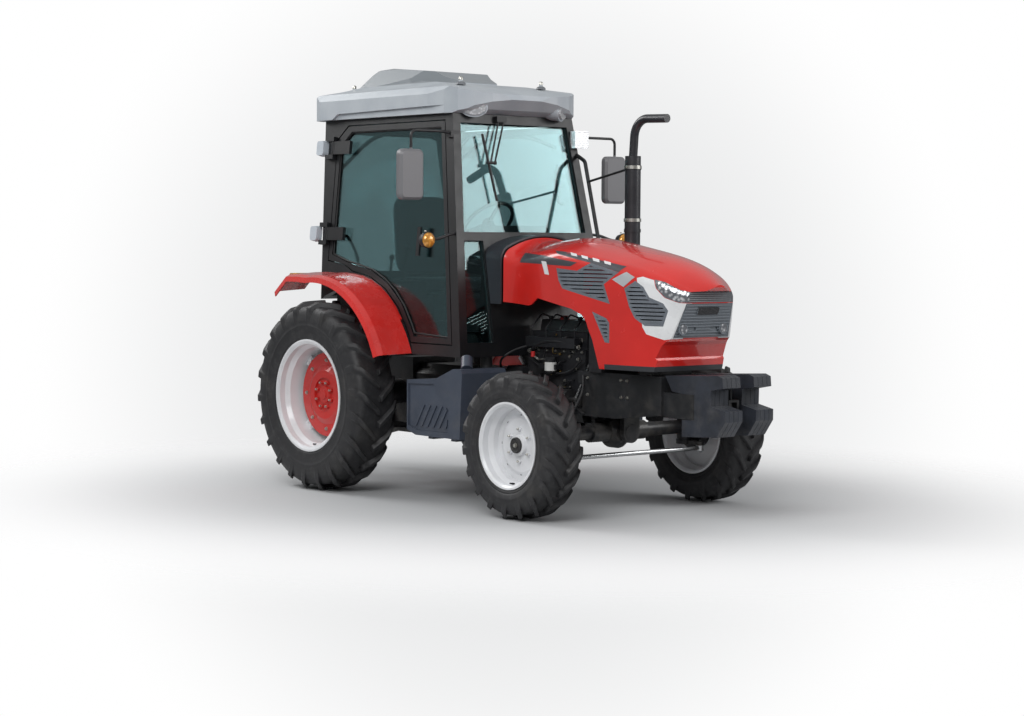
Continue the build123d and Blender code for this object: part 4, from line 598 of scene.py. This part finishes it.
def tyre_half(radius, half, bead_r, bead_y, flange_r, height, lug_count):
    """One side of a drive tyre from its middle ring to its bead, as rows of (radius, y, angle).

    Along a row, point = body + mask (lug - body), where mask is 1 on a lug's top and 0 between lugs. The
    angle is the lug's number times the pitch, plus the row's slant, plus the column's place in the pitch.
    """
    floor, wall = radius - height, (radius + bead_r) / 2
    scale = wall / 0.5
    crown = 0.66 * half
    flat_y = np.array([0.004, 0.0055, 0.008, 0.2 * crown, 0.45 * crown, 0.75 * crown, crown])
    flat_r = floor + CROWN_RISE * (1 - (flat_y / crown) ** 2)
    bend = [(0.74, 0.004), (0.82, 0.012), (0.89, 0.026), (0.935, 0.043), (0.96, 0.062), (0.975, 0.08)]
    bend_share, bend_drop = np.array(bend).T
    low_r = wall + np.array([0.012, -0.004, -0.02, -0.023, -0.03, -0.033, -0.052])
    low_y = half * np.array([0.984, 0.984, 0.978, 0.985, 0.983, 0.972, 0.955])
    foot_r = flange_r + FOOT_HEIGHT - np.linspace(0, 1, 6) * FOOT_HEIGHT
    foot_y = bead_y + 0.0095 * np.array([0.9, 1.0, 1.0, 0.55, 0.4, 0.0])
    keep = low_r > foot_r[0] + 0.006
    body_r = np.concatenate([flat_r, floor - bend_drop * scale, low_r[keep], foot_r, [bead_r]])
    body_y = np.concatenate([flat_y, bend_share * half, low_y[keep], foot_y, [bead_y]])
    rows = len(body_r)

    # The lugs lie on the flat rows and the bend, and end on the first row below it.
    flat_end = len(flat_y)
    bend_end = flat_end + len(bend)
    shoulder = [(0.72, 0.012), (0.80, 0.022), (0.885, 0.0335), (0.955, 0.043), (0.988, 0.052), (0.991, 0.07)]
    shoulder_share, shoulder_drop = np.array(shoulder).T
    lug_r, lug_y, fade = body_r.copy(), body_y.copy(), np.zeros(rows)
    lug_r[:flat_end] = radius - 0.005 * flat_y / crown
    lug_r[flat_end:bend_end] = radius - shoulder_drop * scale
    lug_y[flat_end:bend_end] = shoulder_share * half
    lug_r[bend_end], lug_y[bend_end] = body_r[bend_end] + 0.002, half * 0.991
    fade[1], fade[2:bend_end], fade[bend_end] = 0.92, 1.0, 0.75

    # The slant, in degrees at the rear tyre's size, and the lug's half width both grow towards the side.
    reach = np.clip(body_y / crown, 0, 1)
    beyond = np.clip((body_y - crown) / (half - crown), 0, 1)
    beyond[bend_end:] = 1
    slant = np.radians(9 * reach + 5 * beyond) * REAR_R / radius
    wide = 0.015 + 0.003 * reach + 0.004 * beyond
    pitch = 2 * math.pi * radius / lug_count
    gap = np.linspace(0, 1, PITCH_COLUMNS - len(LUG_RISE) + 2)[1:-1]
    edge = np.stack([wide + LUG_FOOT, wide + 0.0065, wide + 0.001, wide - 0.002], 1)
    foot = wide[:, None] + LUG_FOOT
    between = foot + gap[None] * (pitch - 2 * foot)
    place = np.concatenate([-edge, np.zeros((rows, 1)), edge[:, ::-1], between], 1)
    mask = np.array(LUG_RISE + (0,) * len(gap))[None] * fade[:, None]
    r = body_r[:, None] + mask * (lug_r - body_r)[:, None]
    y = body_y[:, None] + mask * (lug_y - body_y)[:, None]
    number = np.arange(lug_count) * 2 * math.pi / lug_count
    angle = number[None, :, None] + (slant[:, None] + place / radius)[:, None, :]
    r = np.broadcast_to(r[:, None, :], angle.shape).reshape(rows, -1)
    y = np.broadcast_to(y[:, None, :], angle.shape).reshape(rows, -1)
    return r, y, angle.reshape(rows, -1)


def tyre_piece(name, body, x, centre_y, radius, width, bead_r, rim_width, flange_r, height, lug_count):
    """A whole tyre. The left half's lugs sit half a pitch on, so its columns are shifted by half a pitch to
    meet the right half's on the middle ring, whose points are evenly spaced. It lies 0.5 mm inside the
    width and 0.5 mm outside the bead that it is given."""
    half = width / 2 - 0.0005
    bead_y = rim_width / 2 - 0.0075
    r, y, angle = tyre_half(radius, half, bead_r + 0.0005, bead_y, flange_r, height, lug_count)
    start = math.radians(270)
    step = 2 * math.pi / (lug_count * PITCH_COLUMNS)
    ring = start + (np.arange(lug_count * PITCH_COLUMNS) - len(LUG_RISE) // 2) * step
    shift = PITCH_COLUMNS // 2
    left_angle = np.roll(angle, shift, 1)
    left_angle[:, :shift] -= 2 * math.pi
    left_angle = left_angle + math.pi / lug_count
    middle_r = np.full_like(ring, radius - height + CROWN_RISE)
    middle = np.stack([middle_r, np.zeros_like(ring), ring], -1)[None]
    right = np.stack([r, -y, angle + start], -1)[::-1]
    left = np.stack([np.roll(r, shift, 1), np.roll(y, shift, 1), left_angle + start], -1)
    r, y, angle = np.moveaxis(np.concatenate([right, middle, left]), -1, 0)
    grid = np.stack([x + r * np.cos(angle), centre_y + y, radius + r * np.sin(angle)], -1)
    thing = mesh_piece(name, [(grid, True, True, 0)], [looks["tyre_rubber"]], body, 42)
    return thing


for side, tag in SIDES:
    rear = tyre_piece(
        f"rear_tread_{tag}", f"rear_wheel_{tag}", x=0.0, centre_y=side * 0.82, radius=REAR_R,
        width=0.330, bead_r=0.356, rim_width=0.300, flange_r=0.381, height=0.036, lug_count=22,
    )
    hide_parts(f"rear_tyre_{tag}")
    front = tyre_piece(
        f"front_tread_{tag}", f"front_wheel_{tag}", x=WHEELBASE, centre_y=side * 0.78, radius=FRONT_R,
        width=0.270, bead_r=0.250, rim_width=0.240, flange_r=0.268, height=0.030, lug_count=18,
    )
    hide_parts(f"front_tyre_{tag}")


# Stripes on the hood


# How far the stripes stand off the hood, how much more the white ones do, the depth at which a ray is taken
# to have gone through a slot, and how far out the rays start, in metres
STRIPE_LIFT = 0.0012
WHITE_LIFT = 0.0005
SLOT_DEPTH = 0.05
RAY_START = 2.0


def hood_tree():
    """Search tree over the faces of the hood, its side vents and its nose panels, to lay stripes on them."""
    verts, faces = [], []
    for node in ("hood", "side_vents", "nose_panels"):
        thing = frame["nodes"][node]
        base = len(verts)
        verts += [thing.matrix_world @ v.co for v in thing.data.vertices]
        faces += [tuple(base + k for k in p.vertices) for p in thing.data.polygons]
    return BVHTree.FromPolygons(verts, faces)


def on_hood(tree, side, grid):
    """Points (x, z) seen from the side, carried across on to the hood and the stripes' lift proud of it.

    A point over a slot or seam, where nothing near the surface is met, takes its place from the others in its
    row.
    """
    rows, columns = grid.shape[:2]
    reach = np.full((rows, columns), np.nan)
    for i in range(rows):
        for j in range(columns):
            x, z = grid[i, j]
            outside = Vector((x + AXLE_X, side * RAY_START, z))
            spot = tree.ray_cast(outside, Vector((0, -side, 0)), RAY_START)[0]
            if spot is not None:
                reach[i, j] = spot.y * side
    outer = np.nanmedian(reach)
    good = np.nan_to_num(reach, nan=-1.0) > outer - SLOT_DEPTH
    flat = np.arange(columns)
    for i in range(rows):
        if good[i].sum() > 1:
            reach[i] = np.interp(flat, flat[good[i]], reach[i][good[i]])
        else:
            reach[i] = outer
    return np.stack([grid[..., 0], side * (reach + STRIPE_LIFT), grid[..., 1]], -1)


def stripe(corners, rows, columns):
    """Four-sided patch: corner points mixed by (1 - u)(1 - v), u (1 - v), u v and (1 - u) v."""
    a, b, c, d = (np.array(p, float) / 1000 for p in corners)
    u, v = np.meshgrid(np.linspace(0, 1, columns), np.linspace(0, 1, rows))
    u, v = u[..., None], v[..., None]
    return a * (1 - u) * (1 - v) + b * u * (1 - v) + c * u * v + d * (1 - u) * v


# Each stripe's corners (x, z) in millimetres, its rows and columns of points, and its finish: 0 is grey, 1 is
# white and 2 is silver.
WHITE = 1
STRIPES = [
    ([(1464, 1623), (1713, 1610), (1713, 1555), (1465, 1562)], 6, 18, 0),
    ([(1713, 1610), (2053, 1569), (1994, 1544), (1713, 1555)], 6, 22, 0),
    ([(1706, 1575), (1760, 1571), (1792, 1488), (1745, 1492)], 8, 4, 1),
    ([(1813, 1641), (1911, 1635), (2169, 1568), (1851, 1622)], 4, 18, 0),
    ([(1911, 1635), (2453, 1550), (2413, 1515), (2169, 1568)], 6, 30, 0),
    ([(1960, 1632), (2020, 1622), (2040, 1605), (1985, 1613)], 3, 5, 1),
    ([(2060, 1616), (2120, 1606), (2138, 1588), (2083, 1598)], 3, 5, 1),
    ([(2160, 1600), (2220, 1590), (2236, 1572), (2182, 1581)], 3, 5, 1),
    ([(2260, 1583), (2320, 1573), (2334, 1556), (2281, 1565)], 3, 5, 1),
    ([(2361, 1469), (2473, 1517), (2544, 1486), (2456, 1425)], 8, 8, 2),
]


def hood_stripes():
    """Plain stripes on both sides of the hood, without lettering."""
    tree = hood_tree()
    sheets = []
    for side in (-1, 1):
        for corners, rows, columns, mark in STRIPES:
            laid = on_hood(tree, side, stripe(corners, rows, columns))
            laid[..., 1] += side * (WHITE_LIFT if mark == WHITE else 0.0)
            sheets.append((laid if side > 0 else laid[:, ::-1], False, False, mark))
    finishes = [extra["decal_grey"], extra["decal_white"], extra["decal_silver"]]
    return mesh_piece("hood_stripes", sheets, finishes, "hood_assembly", 35, closed=False)


hood_stripes()


# Seat


PAD_CROWN = 0.25
SIDE_SEAMS = (-0.62, 0.62)
CROSS_SEAMS = (-0.45, 0.15, 0.6)


def blunt(value, power):
    """A value's size raised to a power, with the value's own sign."""
    return np.sign(value) * np.abs(value) ** power


def pad(centre, size, lean):
    """A stuffed pad. A sphere's point (c, s, w) becomes size * (sign |c|^p, ...), so its sides flatten. Its
    upper face rises by a crown and drops along each seam by d exp(-(distance to the seam)^2 / s^2)."""
    u = np.linspace(-math.pi / 2, math.pi / 2, 41)[:, None]
    v = np.linspace(0, 2 * math.pi, 88, endpoint=False)[None]
    x = blunt(np.cos(u), 0.35) * blunt(np.cos(v), 0.30)
    y = blunt(np.cos(u), 0.35) * blunt(np.sin(v), 0.30)
    z = blunt(np.sin(u), 0.45) * np.ones_like(v)
    top = np.clip(z, 0, 1)
    z = z + top * PAD_CROWN * (1 - 0.5 * x**2) * (0.25 + 0.75 * y**2)
    for seam in SIDE_SEAMS:
        z = z - top * 0.22 * np.exp(-(((y - seam) / 0.035) ** 2))
    for seam in CROSS_SEAMS:
        z = z - top * 0.12 * np.exp(-(((x - seam) / 0.03) ** 2)) * (np.abs(y) < 0.55)
    px, py, pz = x * size[0] / 2, y * size[1] / 2, z * size[2] / 2
    c, s = math.cos(lean), math.sin(lean)
    grid = np.stack([centre[0] + px * c - pz * s, centre[1] + py, centre[2] + px * s + pz * c], -1)
    return grid, False, True, 0


def seat_pads():
    """Seat and back cushions with raised sides and stitched channels."""
    lower = pad((0.215, 0, 1.392), (0.44, 0.47, 0.100), 0.0)
    upper = pad((0.010, 0, 1.735), (0.54, 0.46, 0.080), math.radians(95))
    thing = mesh_piece("seat_pads", [lower, upper], [looks["seat_cover"]], "chassis", 60)
    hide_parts("seat_cushions")


seat_pads()


# Fittings


def on_side(side, points):
    """Points given for the left side, mirrored in y for the right."""
    return [(x, side * y, z) for x, y, z in points]


def spots_round(x, y, z, radius, count, start=0.0):
    """Evenly spaced points on a circle about a wheel's axle, the first at the start angle in degrees."""
    turns = [math.radians(360 / count * k + start) for k in range(count)]
    return [(x + radius * math.cos(a), y, z + radius * math.sin(a)) for a in turns]


def side_lamps():
    """Side marker lamps: a turned housing with an amber lens on a bent stalk from the front pillar."""
    shell = [(-0.030, 0), (-0.030, 0.020), (-0.012, 0.044), (0.022, 0.052), (0.030, 0.052), (0.030, 0.049)]
    cover = [(0.029, 0.049), (0.040, 0.047), (0.052, 0.036), (0.058, 0.018), (0.060, 0)]
    ring = [(0.030, 0.047), (0.034, 0.050), (0.030, 0.054), (0.026, 0.050), (0.030, 0.047)]
    stalk = [(1.125, 0.592, 1.745), (1.145, 0.66, 1.735), (1.148, 0.74, 1.712), (1.135, 0.815, 1.703)]
    sheets = []
    for side in (-1, 1):
        place = (1.150, side * 0.845, 1.702)
        sheets.append(turned(shell + [(0.026, 0)], place, (1, 0, 0), 32, 0, 0))
        sheets.append(turned(cover + [(0.028, 0)], place, (1, 0, 0), 32, 0, 1))
        sheets.append(turned(ring, place, (1, 0, 0), 32, 0, 0))
        sheets.append(tube(on_side(side, stalk), 0.010, 10, 6, 0))
        sheets += hex_bolt((1.150, side * 0.845, 1.755), (0, 0, 1), 0.012, 2)
    mesh_piece("side_lamps", sheets, [looks["trim_black"], looks["lamp_amber"], extra["zinc"]], "chassis", 40)


def stack_clamps():
    """Bright band clamps round the exhaust, each with its bolt."""
    band = [(-0.011, 0.0545), (-0.011, 0.0575), (0.011, 0.0575), (0.011, 0.0545)]
    sheets = []
    for z in (2.185, 1.84):
        sheets.append(turned(band, (1.715, 0.428, z), (0, 0, 1), 40, 0, 0))
        sheets += hex_bolt((1.715, 0.368, z), (0, -1, 0), 0.013, 0)
    mesh_piece("stack_clamps", sheets, [extra["zinc"]], "chassis", 40)


# Hoses and wiring on each flank of the engine: a radius and the points of a smooth path
HOSES = [
    (0.009, [(1.42, 0.19, 0.99), (1.55, 0.215, 1.045), (1.72, 0.21, 1.06), (1.90, 0.19, 1.03)]),
    (0.0075, [
        (1.40, 0.175, 0.94), (1.52, 0.20, 0.90), (1.64, 0.20, 0.86), (1.80, 0.19, 0.87), (1.93, 0.20, 0.95),
    ]),
    (0.0085, [
        (1.385, 0.17, 0.80), (1.50, 0.185, 0.74), (1.66, 0.19, 0.71), (1.86, 0.20, 0.66), (2.00, 0.24, 0.62),
    ]),
    (0.0085, [(1.99, 0.235, 0.86), (2.02, 0.27, 0.76), (2.00, 0.33, 0.64), (1.98, 0.42, 0.575)]),
    (0.008, [(1.18, 0.24, 0.86), (1.26, 0.30, 0.93), (1.33, 0.25, 0.99), (1.44, 0.19, 1.03)]),
]


def engine_pipes():
    """Hoses, wiring and bright unions over both sides of the engine and along the frame."""
    sheets = []
    for side in (-1, 1):
        out = (0, side, 0)
        for radius, run in HOSES:
            sheets.append(tube(on_side(side, run), radius, 8, 8, 0))
        for x, z in ((1.42, 0.99), (1.64, 0.86), (1.86, 0.66), (1.90, 1.03), (1.50, 0.74)):
            sheets += hex_bolt((x, side * 0.196, z), out, 0.022, 1)
        for k in range(7):
            x = 1.40 + 0.084 * k
            sheets += hex_bolt((x, side * 0.165, 0.63), out, 0.014, 1)
            sheets += hex_bolt((x, side * 0.172, 0.998), out, 0.013, 1)
        for x in (2.02, 2.33, 2.385):
            for z in (0.845, 0.74):
                sheets += hex_bolt((x, side * 0.225, z), out, 0.016, 1)
    filler = [(0, 0), (0, 0.030), (0.012, 0.030), (0.016, 0.026), (0.028, 0.024), (0.028, 0)]
    sheets.append(turned(filler, (1.56, -0.02, 1.19), (0, 0, 1), 24, 0, 2))
    small_cap = [(0, 0), (0, 0.014), (0.03, 0.014), (0.034, 0.01), (0.034, 0)]
    sheets.append(turned(small_cap, (1.50, -0.236, 0.955), (0, 0, 1), 16, 0, 2))
    sleeve = [(0, 0.0385), (0, 0.0392), (0.055, 0.0392), (0.055, 0.0385)]
    sheets.append(turned(sleeve, (1.655, -0.218, 0.872), (0, 0, 1), 32, 0, 3))
    finishes = [extra["hose_rubber"], extra["zinc"], extra["cap_red"], extra["filter_white"]]
    mesh_piece("engine_pipes", sheets, finishes, "chassis", 40)


def engine_specks():
    """Small pipes, unions and screw heads scattered over both flanks of the engine, the same at every run."""
    chance = np.random.default_rng(12)
    sheets = []
    for side in (-1, 1):
        for _ in range(46):
            x, z = chance.uniform(1.385, 1.90), chance.uniform(0.68, 1.10)
            depth = 0.172 if z < 1.0 else 0.146
            width, mark = chance.uniform(0.009, 0.018), int(chance.integers(0, 3))
            sheets += hex_bolt((x, side * depth, z), (0, side, 0), width, mark)
        for _ in range(16):
            x, z = chance.uniform(1.42, 1.86), chance.uniform(0.72, 1.08)
            dx, dz = chance.uniform(-0.09, 0.09), chance.uniform(-0.10, 0.06)
            bend = [(x, 0.150, z), (x, 0.195, z), (x + dx / 2, 0.205, z + dz / 2)]
            bend += [(x + dx, 0.195, z + dz), (x + dx, 0.150, z + dz)]
            radius, mark = chance.uniform(0.0035, 0.007), int(chance.integers(0, 4))
            sheets.append(tube(on_side(side, bend), radius, 8, 6, mark))
    finishes = [extra["zinc"], looks["engine_black"], extra["brass"], extra["hose_rubber"]]
    mesh_piece("engine_specks", sheets, finishes, "chassis", 40)


# Rails inside each side of the cab: a radius and the points of a smooth path
RAILS = [
    (0.014, [(-0.30, 0.475, 2.20), (0.10, 0.475, 2.40), (0.55, 0.475, 2.42), (0.88, 0.475, 2.34)]),
    (0.011, [(-0.33, 0.475, 1.72), (-0.28, 0.44, 1.72), (-0.20, 0.42, 1.60), (-0.16, 0.43, 1.50)]),
    (0.011, [(0.99, 0.46, 1.95), (0.955, 0.44, 1.98), (0.93, 0.44, 2.15), (0.925, 0.455, 2.22)]),
]


def cab_rails():
    """Grab rails inside the cab, at the pillars and over the doors."""
    sheets = [tube(on_side(side, run), radius) for side in (-1, 1) for radius, run in RAILS]
    mesh_piece("cab_rails", sheets, [extra["hose_rubber"]], "chassis", 50)


def roof_eyes():
    """Chrome caps on the roof's four lifting studs, each on a rubber foot."""
    foot = [(-0.034, 0), (-0.034, 0.034), (-0.022, 0.030), (-0.014, 0.018), (-0.014, 0)]
    cap = [(-0.004, 0), (-0.004, 0.0138), (0.012, 0.0142), (0.018, 0.010), (0.020, 0)]
    sheets = []
    for x in (0.876, -0.33):
        for side in (-1, 1):
            sheets.append(turned(foot, (x, side * 0.347, ROOF_TOP_Z), (0, 0, 1), 20, 0, 1))
            sheets.append(turned(cap, (x, side * 0.347, ROOF_TOP_Z), (0, 0, 1), 20, 0, 0))
    mesh_piece("roof_eyes", sheets, [extra["zinc"], looks["mirror_shell"]], "chassis", 40)


def hub_caps():
    """Dark dished caps over the front hubs."""
    cap = [(0, 0), (0, 0.047), (0.006, 0.050), (0.016, 0.048), (0.020, 0.042), (0.012, 0.034), (0.012, 0)]
    finishes = [extra["hose_rubber"], extra["zinc"]]
    for side, tag in SIDES:
        sheets = [turned(cap, (WHEELBASE, side * 0.8155, FRONT_R), (0, side, 0), 36, 0, 0)]
        sheets += hex_bolt((WHEELBASE, side * 0.828, FRONT_R), (0, side, 0), 0.022, 1)
        mesh_piece(f"front_cap_{tag}", sheets, finishes, f"front_wheel_{tag}", 35)


def wheel_fittings():
    """Stud ends, a valve stem, and either disc bolts (rear) or thin dark discs painted as the shade in the
    disc holes (front), one piece a wheel.
    """
    finishes = [extra["zinc"], extra["hose_rubber"]]
    rear_stud = [(0, 0.0075), (0.012, 0.0075), (0.014, 0.0055), (0.014, 0)]
    front_stud = [(0, 0.0065), (0.012, 0.0065), (0.014, 0.0045), (0.014, 0)]
    hole = [(0, 0.011), (0.0008, 0.011), (0.0008, 0)]
    stem = [(0, 0.006), (0.02, 0.006), (0.022, 0.0045), (0.036, 0.0045), (0.036, 0)]
    for side, tag in SIDES:
        out, stem_out = (0, side, 0), (0, side, 0.15)
        sheets = []
        for spot in spots_round(0.0, side * 0.8355, REAR_R, 0.086, 8, 22.5):
            sheets.append(turned(rear_stud, spot, out, 12, 0, 0))
        for spot in spots_round(0.0, side * 0.8093, REAR_R, 0.235, 8):
            sheets += hex_bolt(spot, out, 0.020, 0)
        sheets.append(turned(stem, (0.0, side * 0.885, REAR_R - 0.338), stem_out, 12, 0, 1))
        mesh_piece(f"rear_hub_{tag}", sheets, finishes, f"rear_wheel_{tag}", 35)
        sheets = []
        for spot in spots_round(WHEELBASE, side * 0.804, FRONT_R, 0.100, 6, 30):
            sheets.append(turned(front_stud, spot, out, 12, 0, 0))
        # Painted shade: thin dark discs on the wheel disc stand in for its holes and the shade inside them.
        for spot in spots_round(WHEELBASE, side * 0.7815, FRONT_R, 0.176, 8):
            sheets.append(turned(hole, spot, out, 20, 0, 1))
        sheets.append(turned(stem, (WHEELBASE, side * 0.835, FRONT_R - 0.235), stem_out, 12, 0, 1))
        mesh_piece(f"front_hub_{tag}", sheets, finishes, f"front_wheel_{tag}", 35)


# A door pane's outline (x, z), down the front, along the top and down the rear, then the radius and angles
# of the arc over the rear wheel that closes it
PANE_OUTLINE = [
    (1.145672, 1.072), (0.8945456, 2.440), (-0.108, 2.440), (-0.228, 2.352), (-0.228, 1.602), (-0.060, 1.556),
]
PANE_ARC_R = 0.889
PANE_ARC_DEGREES = [84, 74, 64, 54, 44, 34, 30]


def cab_side(z, out):
    """Half the cab's width at a height, moved outwards: its sides lean in by 95 mm for each metre of rise."""
    return 0.660 - 0.095 * (z - 1.0) + out


def door_seals():
    """Rubber seals round the door panes, as tubes with mitred corners."""
    arc = np.radians(PANE_ARC_DEGREES)
    outline = PANE_OUTLINE + [(PANE_ARC_R * math.cos(a), REAR_R + PANE_ARC_R * math.sin(a)) for a in arc]
    for side, tag in SIDES:
        seal = corner_loop([(x, side * cab_side(z, -0.011), z) for x, z in outline], 0.0065, 8)
        mesh_piece(f"door_seal_{tag}", [seal], [extra["seal_black"]], f"door_{tag}", 60)


side_lamps()
stack_clamps()
engine_pipes()
engine_specks()
cab_rails()
roof_eyes()
hub_caps()
wheel_fittings()
door_seals()


# Studio


# The floor's half width in metres and its cells a side
FLOOR_HALF = 9
FLOOR_CELLS = 30

# The strength of the world's light, and the way from the camera to the middle of the backdrop's painted grey
# shade, a halo which begins where the cosine of the angle to it passes the edge
WORLD_LIGHT = 0.55
PAINTED_SHADE_AIM = (-0.769, 0.637, -0.062)
PAINTED_SHADE_EDGE = 0.976

# The photograph's width and the fitted camera's focal length in pixels, and the sensor's width in millimetres
PHOTO_PIXELS = 1024.0
FOCAL_PIXELS = 2161.4
SENSOR_WIDTH = 36.0


def studio_floor():
    """Flat pale floor with a painted grey shadow round the tractor, that fades away into the white backdrop
    with distance.
    """
    f = Finish("studio_floor")
    across, along = f.axis("X"), f.axis("Y")
    reach = (across * across / 9.0 + along * along / 7.0) ** 0.5
    # Painted shadow: the floor's colour is darker grey near the tractor and stands in for its soft shadow.
    floor_painted_shadow = f.blend(reach.step(0.15, 1.5), (0.46, 0.47, 0.48), (0.90, 0.90, 0.905))
    solid = f.principled(colour=floor_painted_shadow, rough=0.95, shine=0.0)
    clear = f.node("ShaderNodeBsdfTransparent", {}, {"Color": (1.0, 1.0, 1.0)})
    material = f.close(f.node("ShaderNodeMixShader", {}, {0: reach.step(0.75, 1.75), 1: solid, 2: clear}))
    points = FLOOR_CELLS + 1
    ticks = np.linspace(-FLOOR_HALF, FLOOR_HALF, points)
    u, v = np.meshgrid(ticks, ticks, indexing="ij")
    verts = np.stack([u, v, np.zeros_like(u)], -1).reshape(-1, 3)
    i, j = np.meshgrid(np.arange(FLOOR_CELLS), np.arange(FLOOR_CELLS), indexing="ij")
    a = (i * points + j).ravel()
    faces = np.stack([a, a + points, a + points + 1, a + 1], 1)
    mesh = bpy.data.meshes.new("studio_floor")
    mesh.from_pydata(verts.tolist(), [], faces.tolist())
    mesh.materials.append(material)
    thing = bpy.data.objects.new("studio_floor", mesh)
    bpy.context.collection.objects.link(thing)


def level_axes(ahead):
    """Right and up directions for a lamp or camera that looks ahead and isn't rolled."""
    right = np.cross(ahead, (0, 0, 1.0))
    right /= np.linalg.norm(right)
    return right, np.cross(right, ahead)


def set_up(thing, right, up, ahead, place):
    """Turns and places a lamp or camera and puts it in the scene."""
    thing.matrix_world = Matrix(
        [(right[k], up[k], -ahead[k], place[k]) for k in range(3)] + [(0, 0, 0, 1)]
    )
    bpy.context.collection.objects.link(thing)


def softbox(name, place, aim, width, height, power):
    """A rectangular area lamp turned to a point."""
    lamp = bpy.data.lights.new(name, "AREA")
    lamp.shape = "RECTANGLE"
    lamp.size, lamp.size_y, lamp.energy = width, height, power
    ahead = np.array(aim, float) - np.array(place, float)
    ahead /= np.linalg.norm(ahead)
    right, up = level_axes(ahead)
    set_up(bpy.data.objects.new(name, lamp), right, up, ahead, place)


def studio_world():
    """White backdrop for the camera, with painted grey shade in a halo behind the tractor, and for everything
    else an even soft light, paler above."""
    world = bpy.data.worlds.new("studio")
    bpy.context.scene.world = world
    world.use_nodes = True
    tree = world.node_tree
    tree.nodes.clear()
    out = tree.nodes.new("ShaderNodeOutputWorld")
    seen = tree.nodes.new("ShaderNodeBackground")
    light = tree.nodes.new("ShaderNodeBackground")
    where = tree.nodes.new("ShaderNodeTexCoord")
    split = tree.nodes.new("ShaderNodeSeparateXYZ")
    rise = tree.nodes.new("ShaderNodeMapRange")
    ramp = tree.nodes.new("ShaderNodeValToRGB")
    rays = tree.nodes.new("ShaderNodeLightPath")
    mix = tree.nodes.new("ShaderNodeMixShader")
    halo = tree.nodes.new("ShaderNodeVectorMath")
    near = tree.nodes.new("ShaderNodeMapRange")
    painted_shade_tone = tree.nodes.new("ShaderNodeMix")
    halo.operation = "DOT_PRODUCT"
    halo.inputs[1].default_value = PAINTED_SHADE_AIM
    near.interpolation_type = "SMOOTHSTEP"
    near.inputs["From Min"].default_value, near.inputs["From Max"].default_value = PAINTED_SHADE_EDGE, 1.0
    painted_shade_tone.data_type = "RGBA"
    # Painted shade: the backdrop seen by the camera turns grey in a halo behind the tractor.
    painted_shade_tone.inputs[6].default_value, painted_shade_tone.inputs[7].default_value = (1, 1, 1, 1), (0.80, 0.805, 0.81, 1)
    seen.inputs["Strength"].default_value = 1.0
    light.inputs["Strength"].default_value = WORLD_LIGHT
    rise.inputs["From Min"].default_value, rise.inputs["From Max"].default_value = -0.2, 1.0
    ramp.color_ramp.elements[0].color = (0.30, 0.31, 0.32, 1)
    ramp.color_ramp.elements[1].color = (1, 1, 1, 1)
    for start, end in (
        (where.outputs["Generated"], halo.inputs[0]),
        (halo.outputs["Value"], near.inputs["Value"]),
        (near.outputs[0], painted_shade_tone.inputs[0]),
        (painted_shade_tone.outputs[2], seen.inputs["Color"]),
        (where.outputs["Generated"], split.inputs[0]),
        (split.outputs["Z"], rise.inputs["Value"]),
        (rise.outputs[0], ramp.inputs[0]),
        (ramp.outputs[0], light.inputs["Color"]),
        (rays.outputs["Is Camera Ray"], mix.inputs[0]),
        (light.outputs[0], mix.inputs[1]),
        (seen.outputs[0], mix.inputs[2]),
        (mix.outputs[0], out.inputs["Surface"]),
    ):
        tree.links.new(start, end)


def photo_camera():
    """Camera at the photograph's place and angle, fitted to the wheels, cab and hood."""
    yaw, pitch, roll = 2.449, -0.055, 0.006
    ahead = np.array([math.cos(pitch) * math.cos(yaw), math.cos(pitch) * math.sin(yaw), math.sin(pitch)])
    right, up = level_axes(ahead)
    across = math.cos(roll) * right + math.sin(roll) * up
    over = -math.sin(roll) * right + math.cos(roll) * up
    lens_data = bpy.data.cameras.new("photo_camera")
    lens_data.sensor_fit = "HORIZONTAL"
    lens_data.sensor_width = SENSOR_WIDTH
    lens_data.lens = FOCAL_PIXELS * SENSOR_WIDTH / PHOTO_PIXELS
    lens_data.clip_end = 200
    thing = bpy.data.objects.new("photo_camera", lens_data)
    set_up(thing, across, over, ahead, (12.134 + AXLE_X, -9.235, 1.712))
    bpy.context.scene.camera = thing


studio_floor()
studio_world()
softbox("key_light", (4.5, -6.5, 6.0), (0, 0, 1.2), 5.0, 3.5, 400)
softbox("fill_light", (6.5, 5.0, 4.5), (0.3, 0, 1.2), 4.0, 4.0, 260)
softbox("back_light", (-6.0, -3.0, 5.5), (-0.5, 0, 1.4), 4.0, 3.0, 240)
photo_camera()
bpy.context.scene.view_settings.view_transform = "Standard"
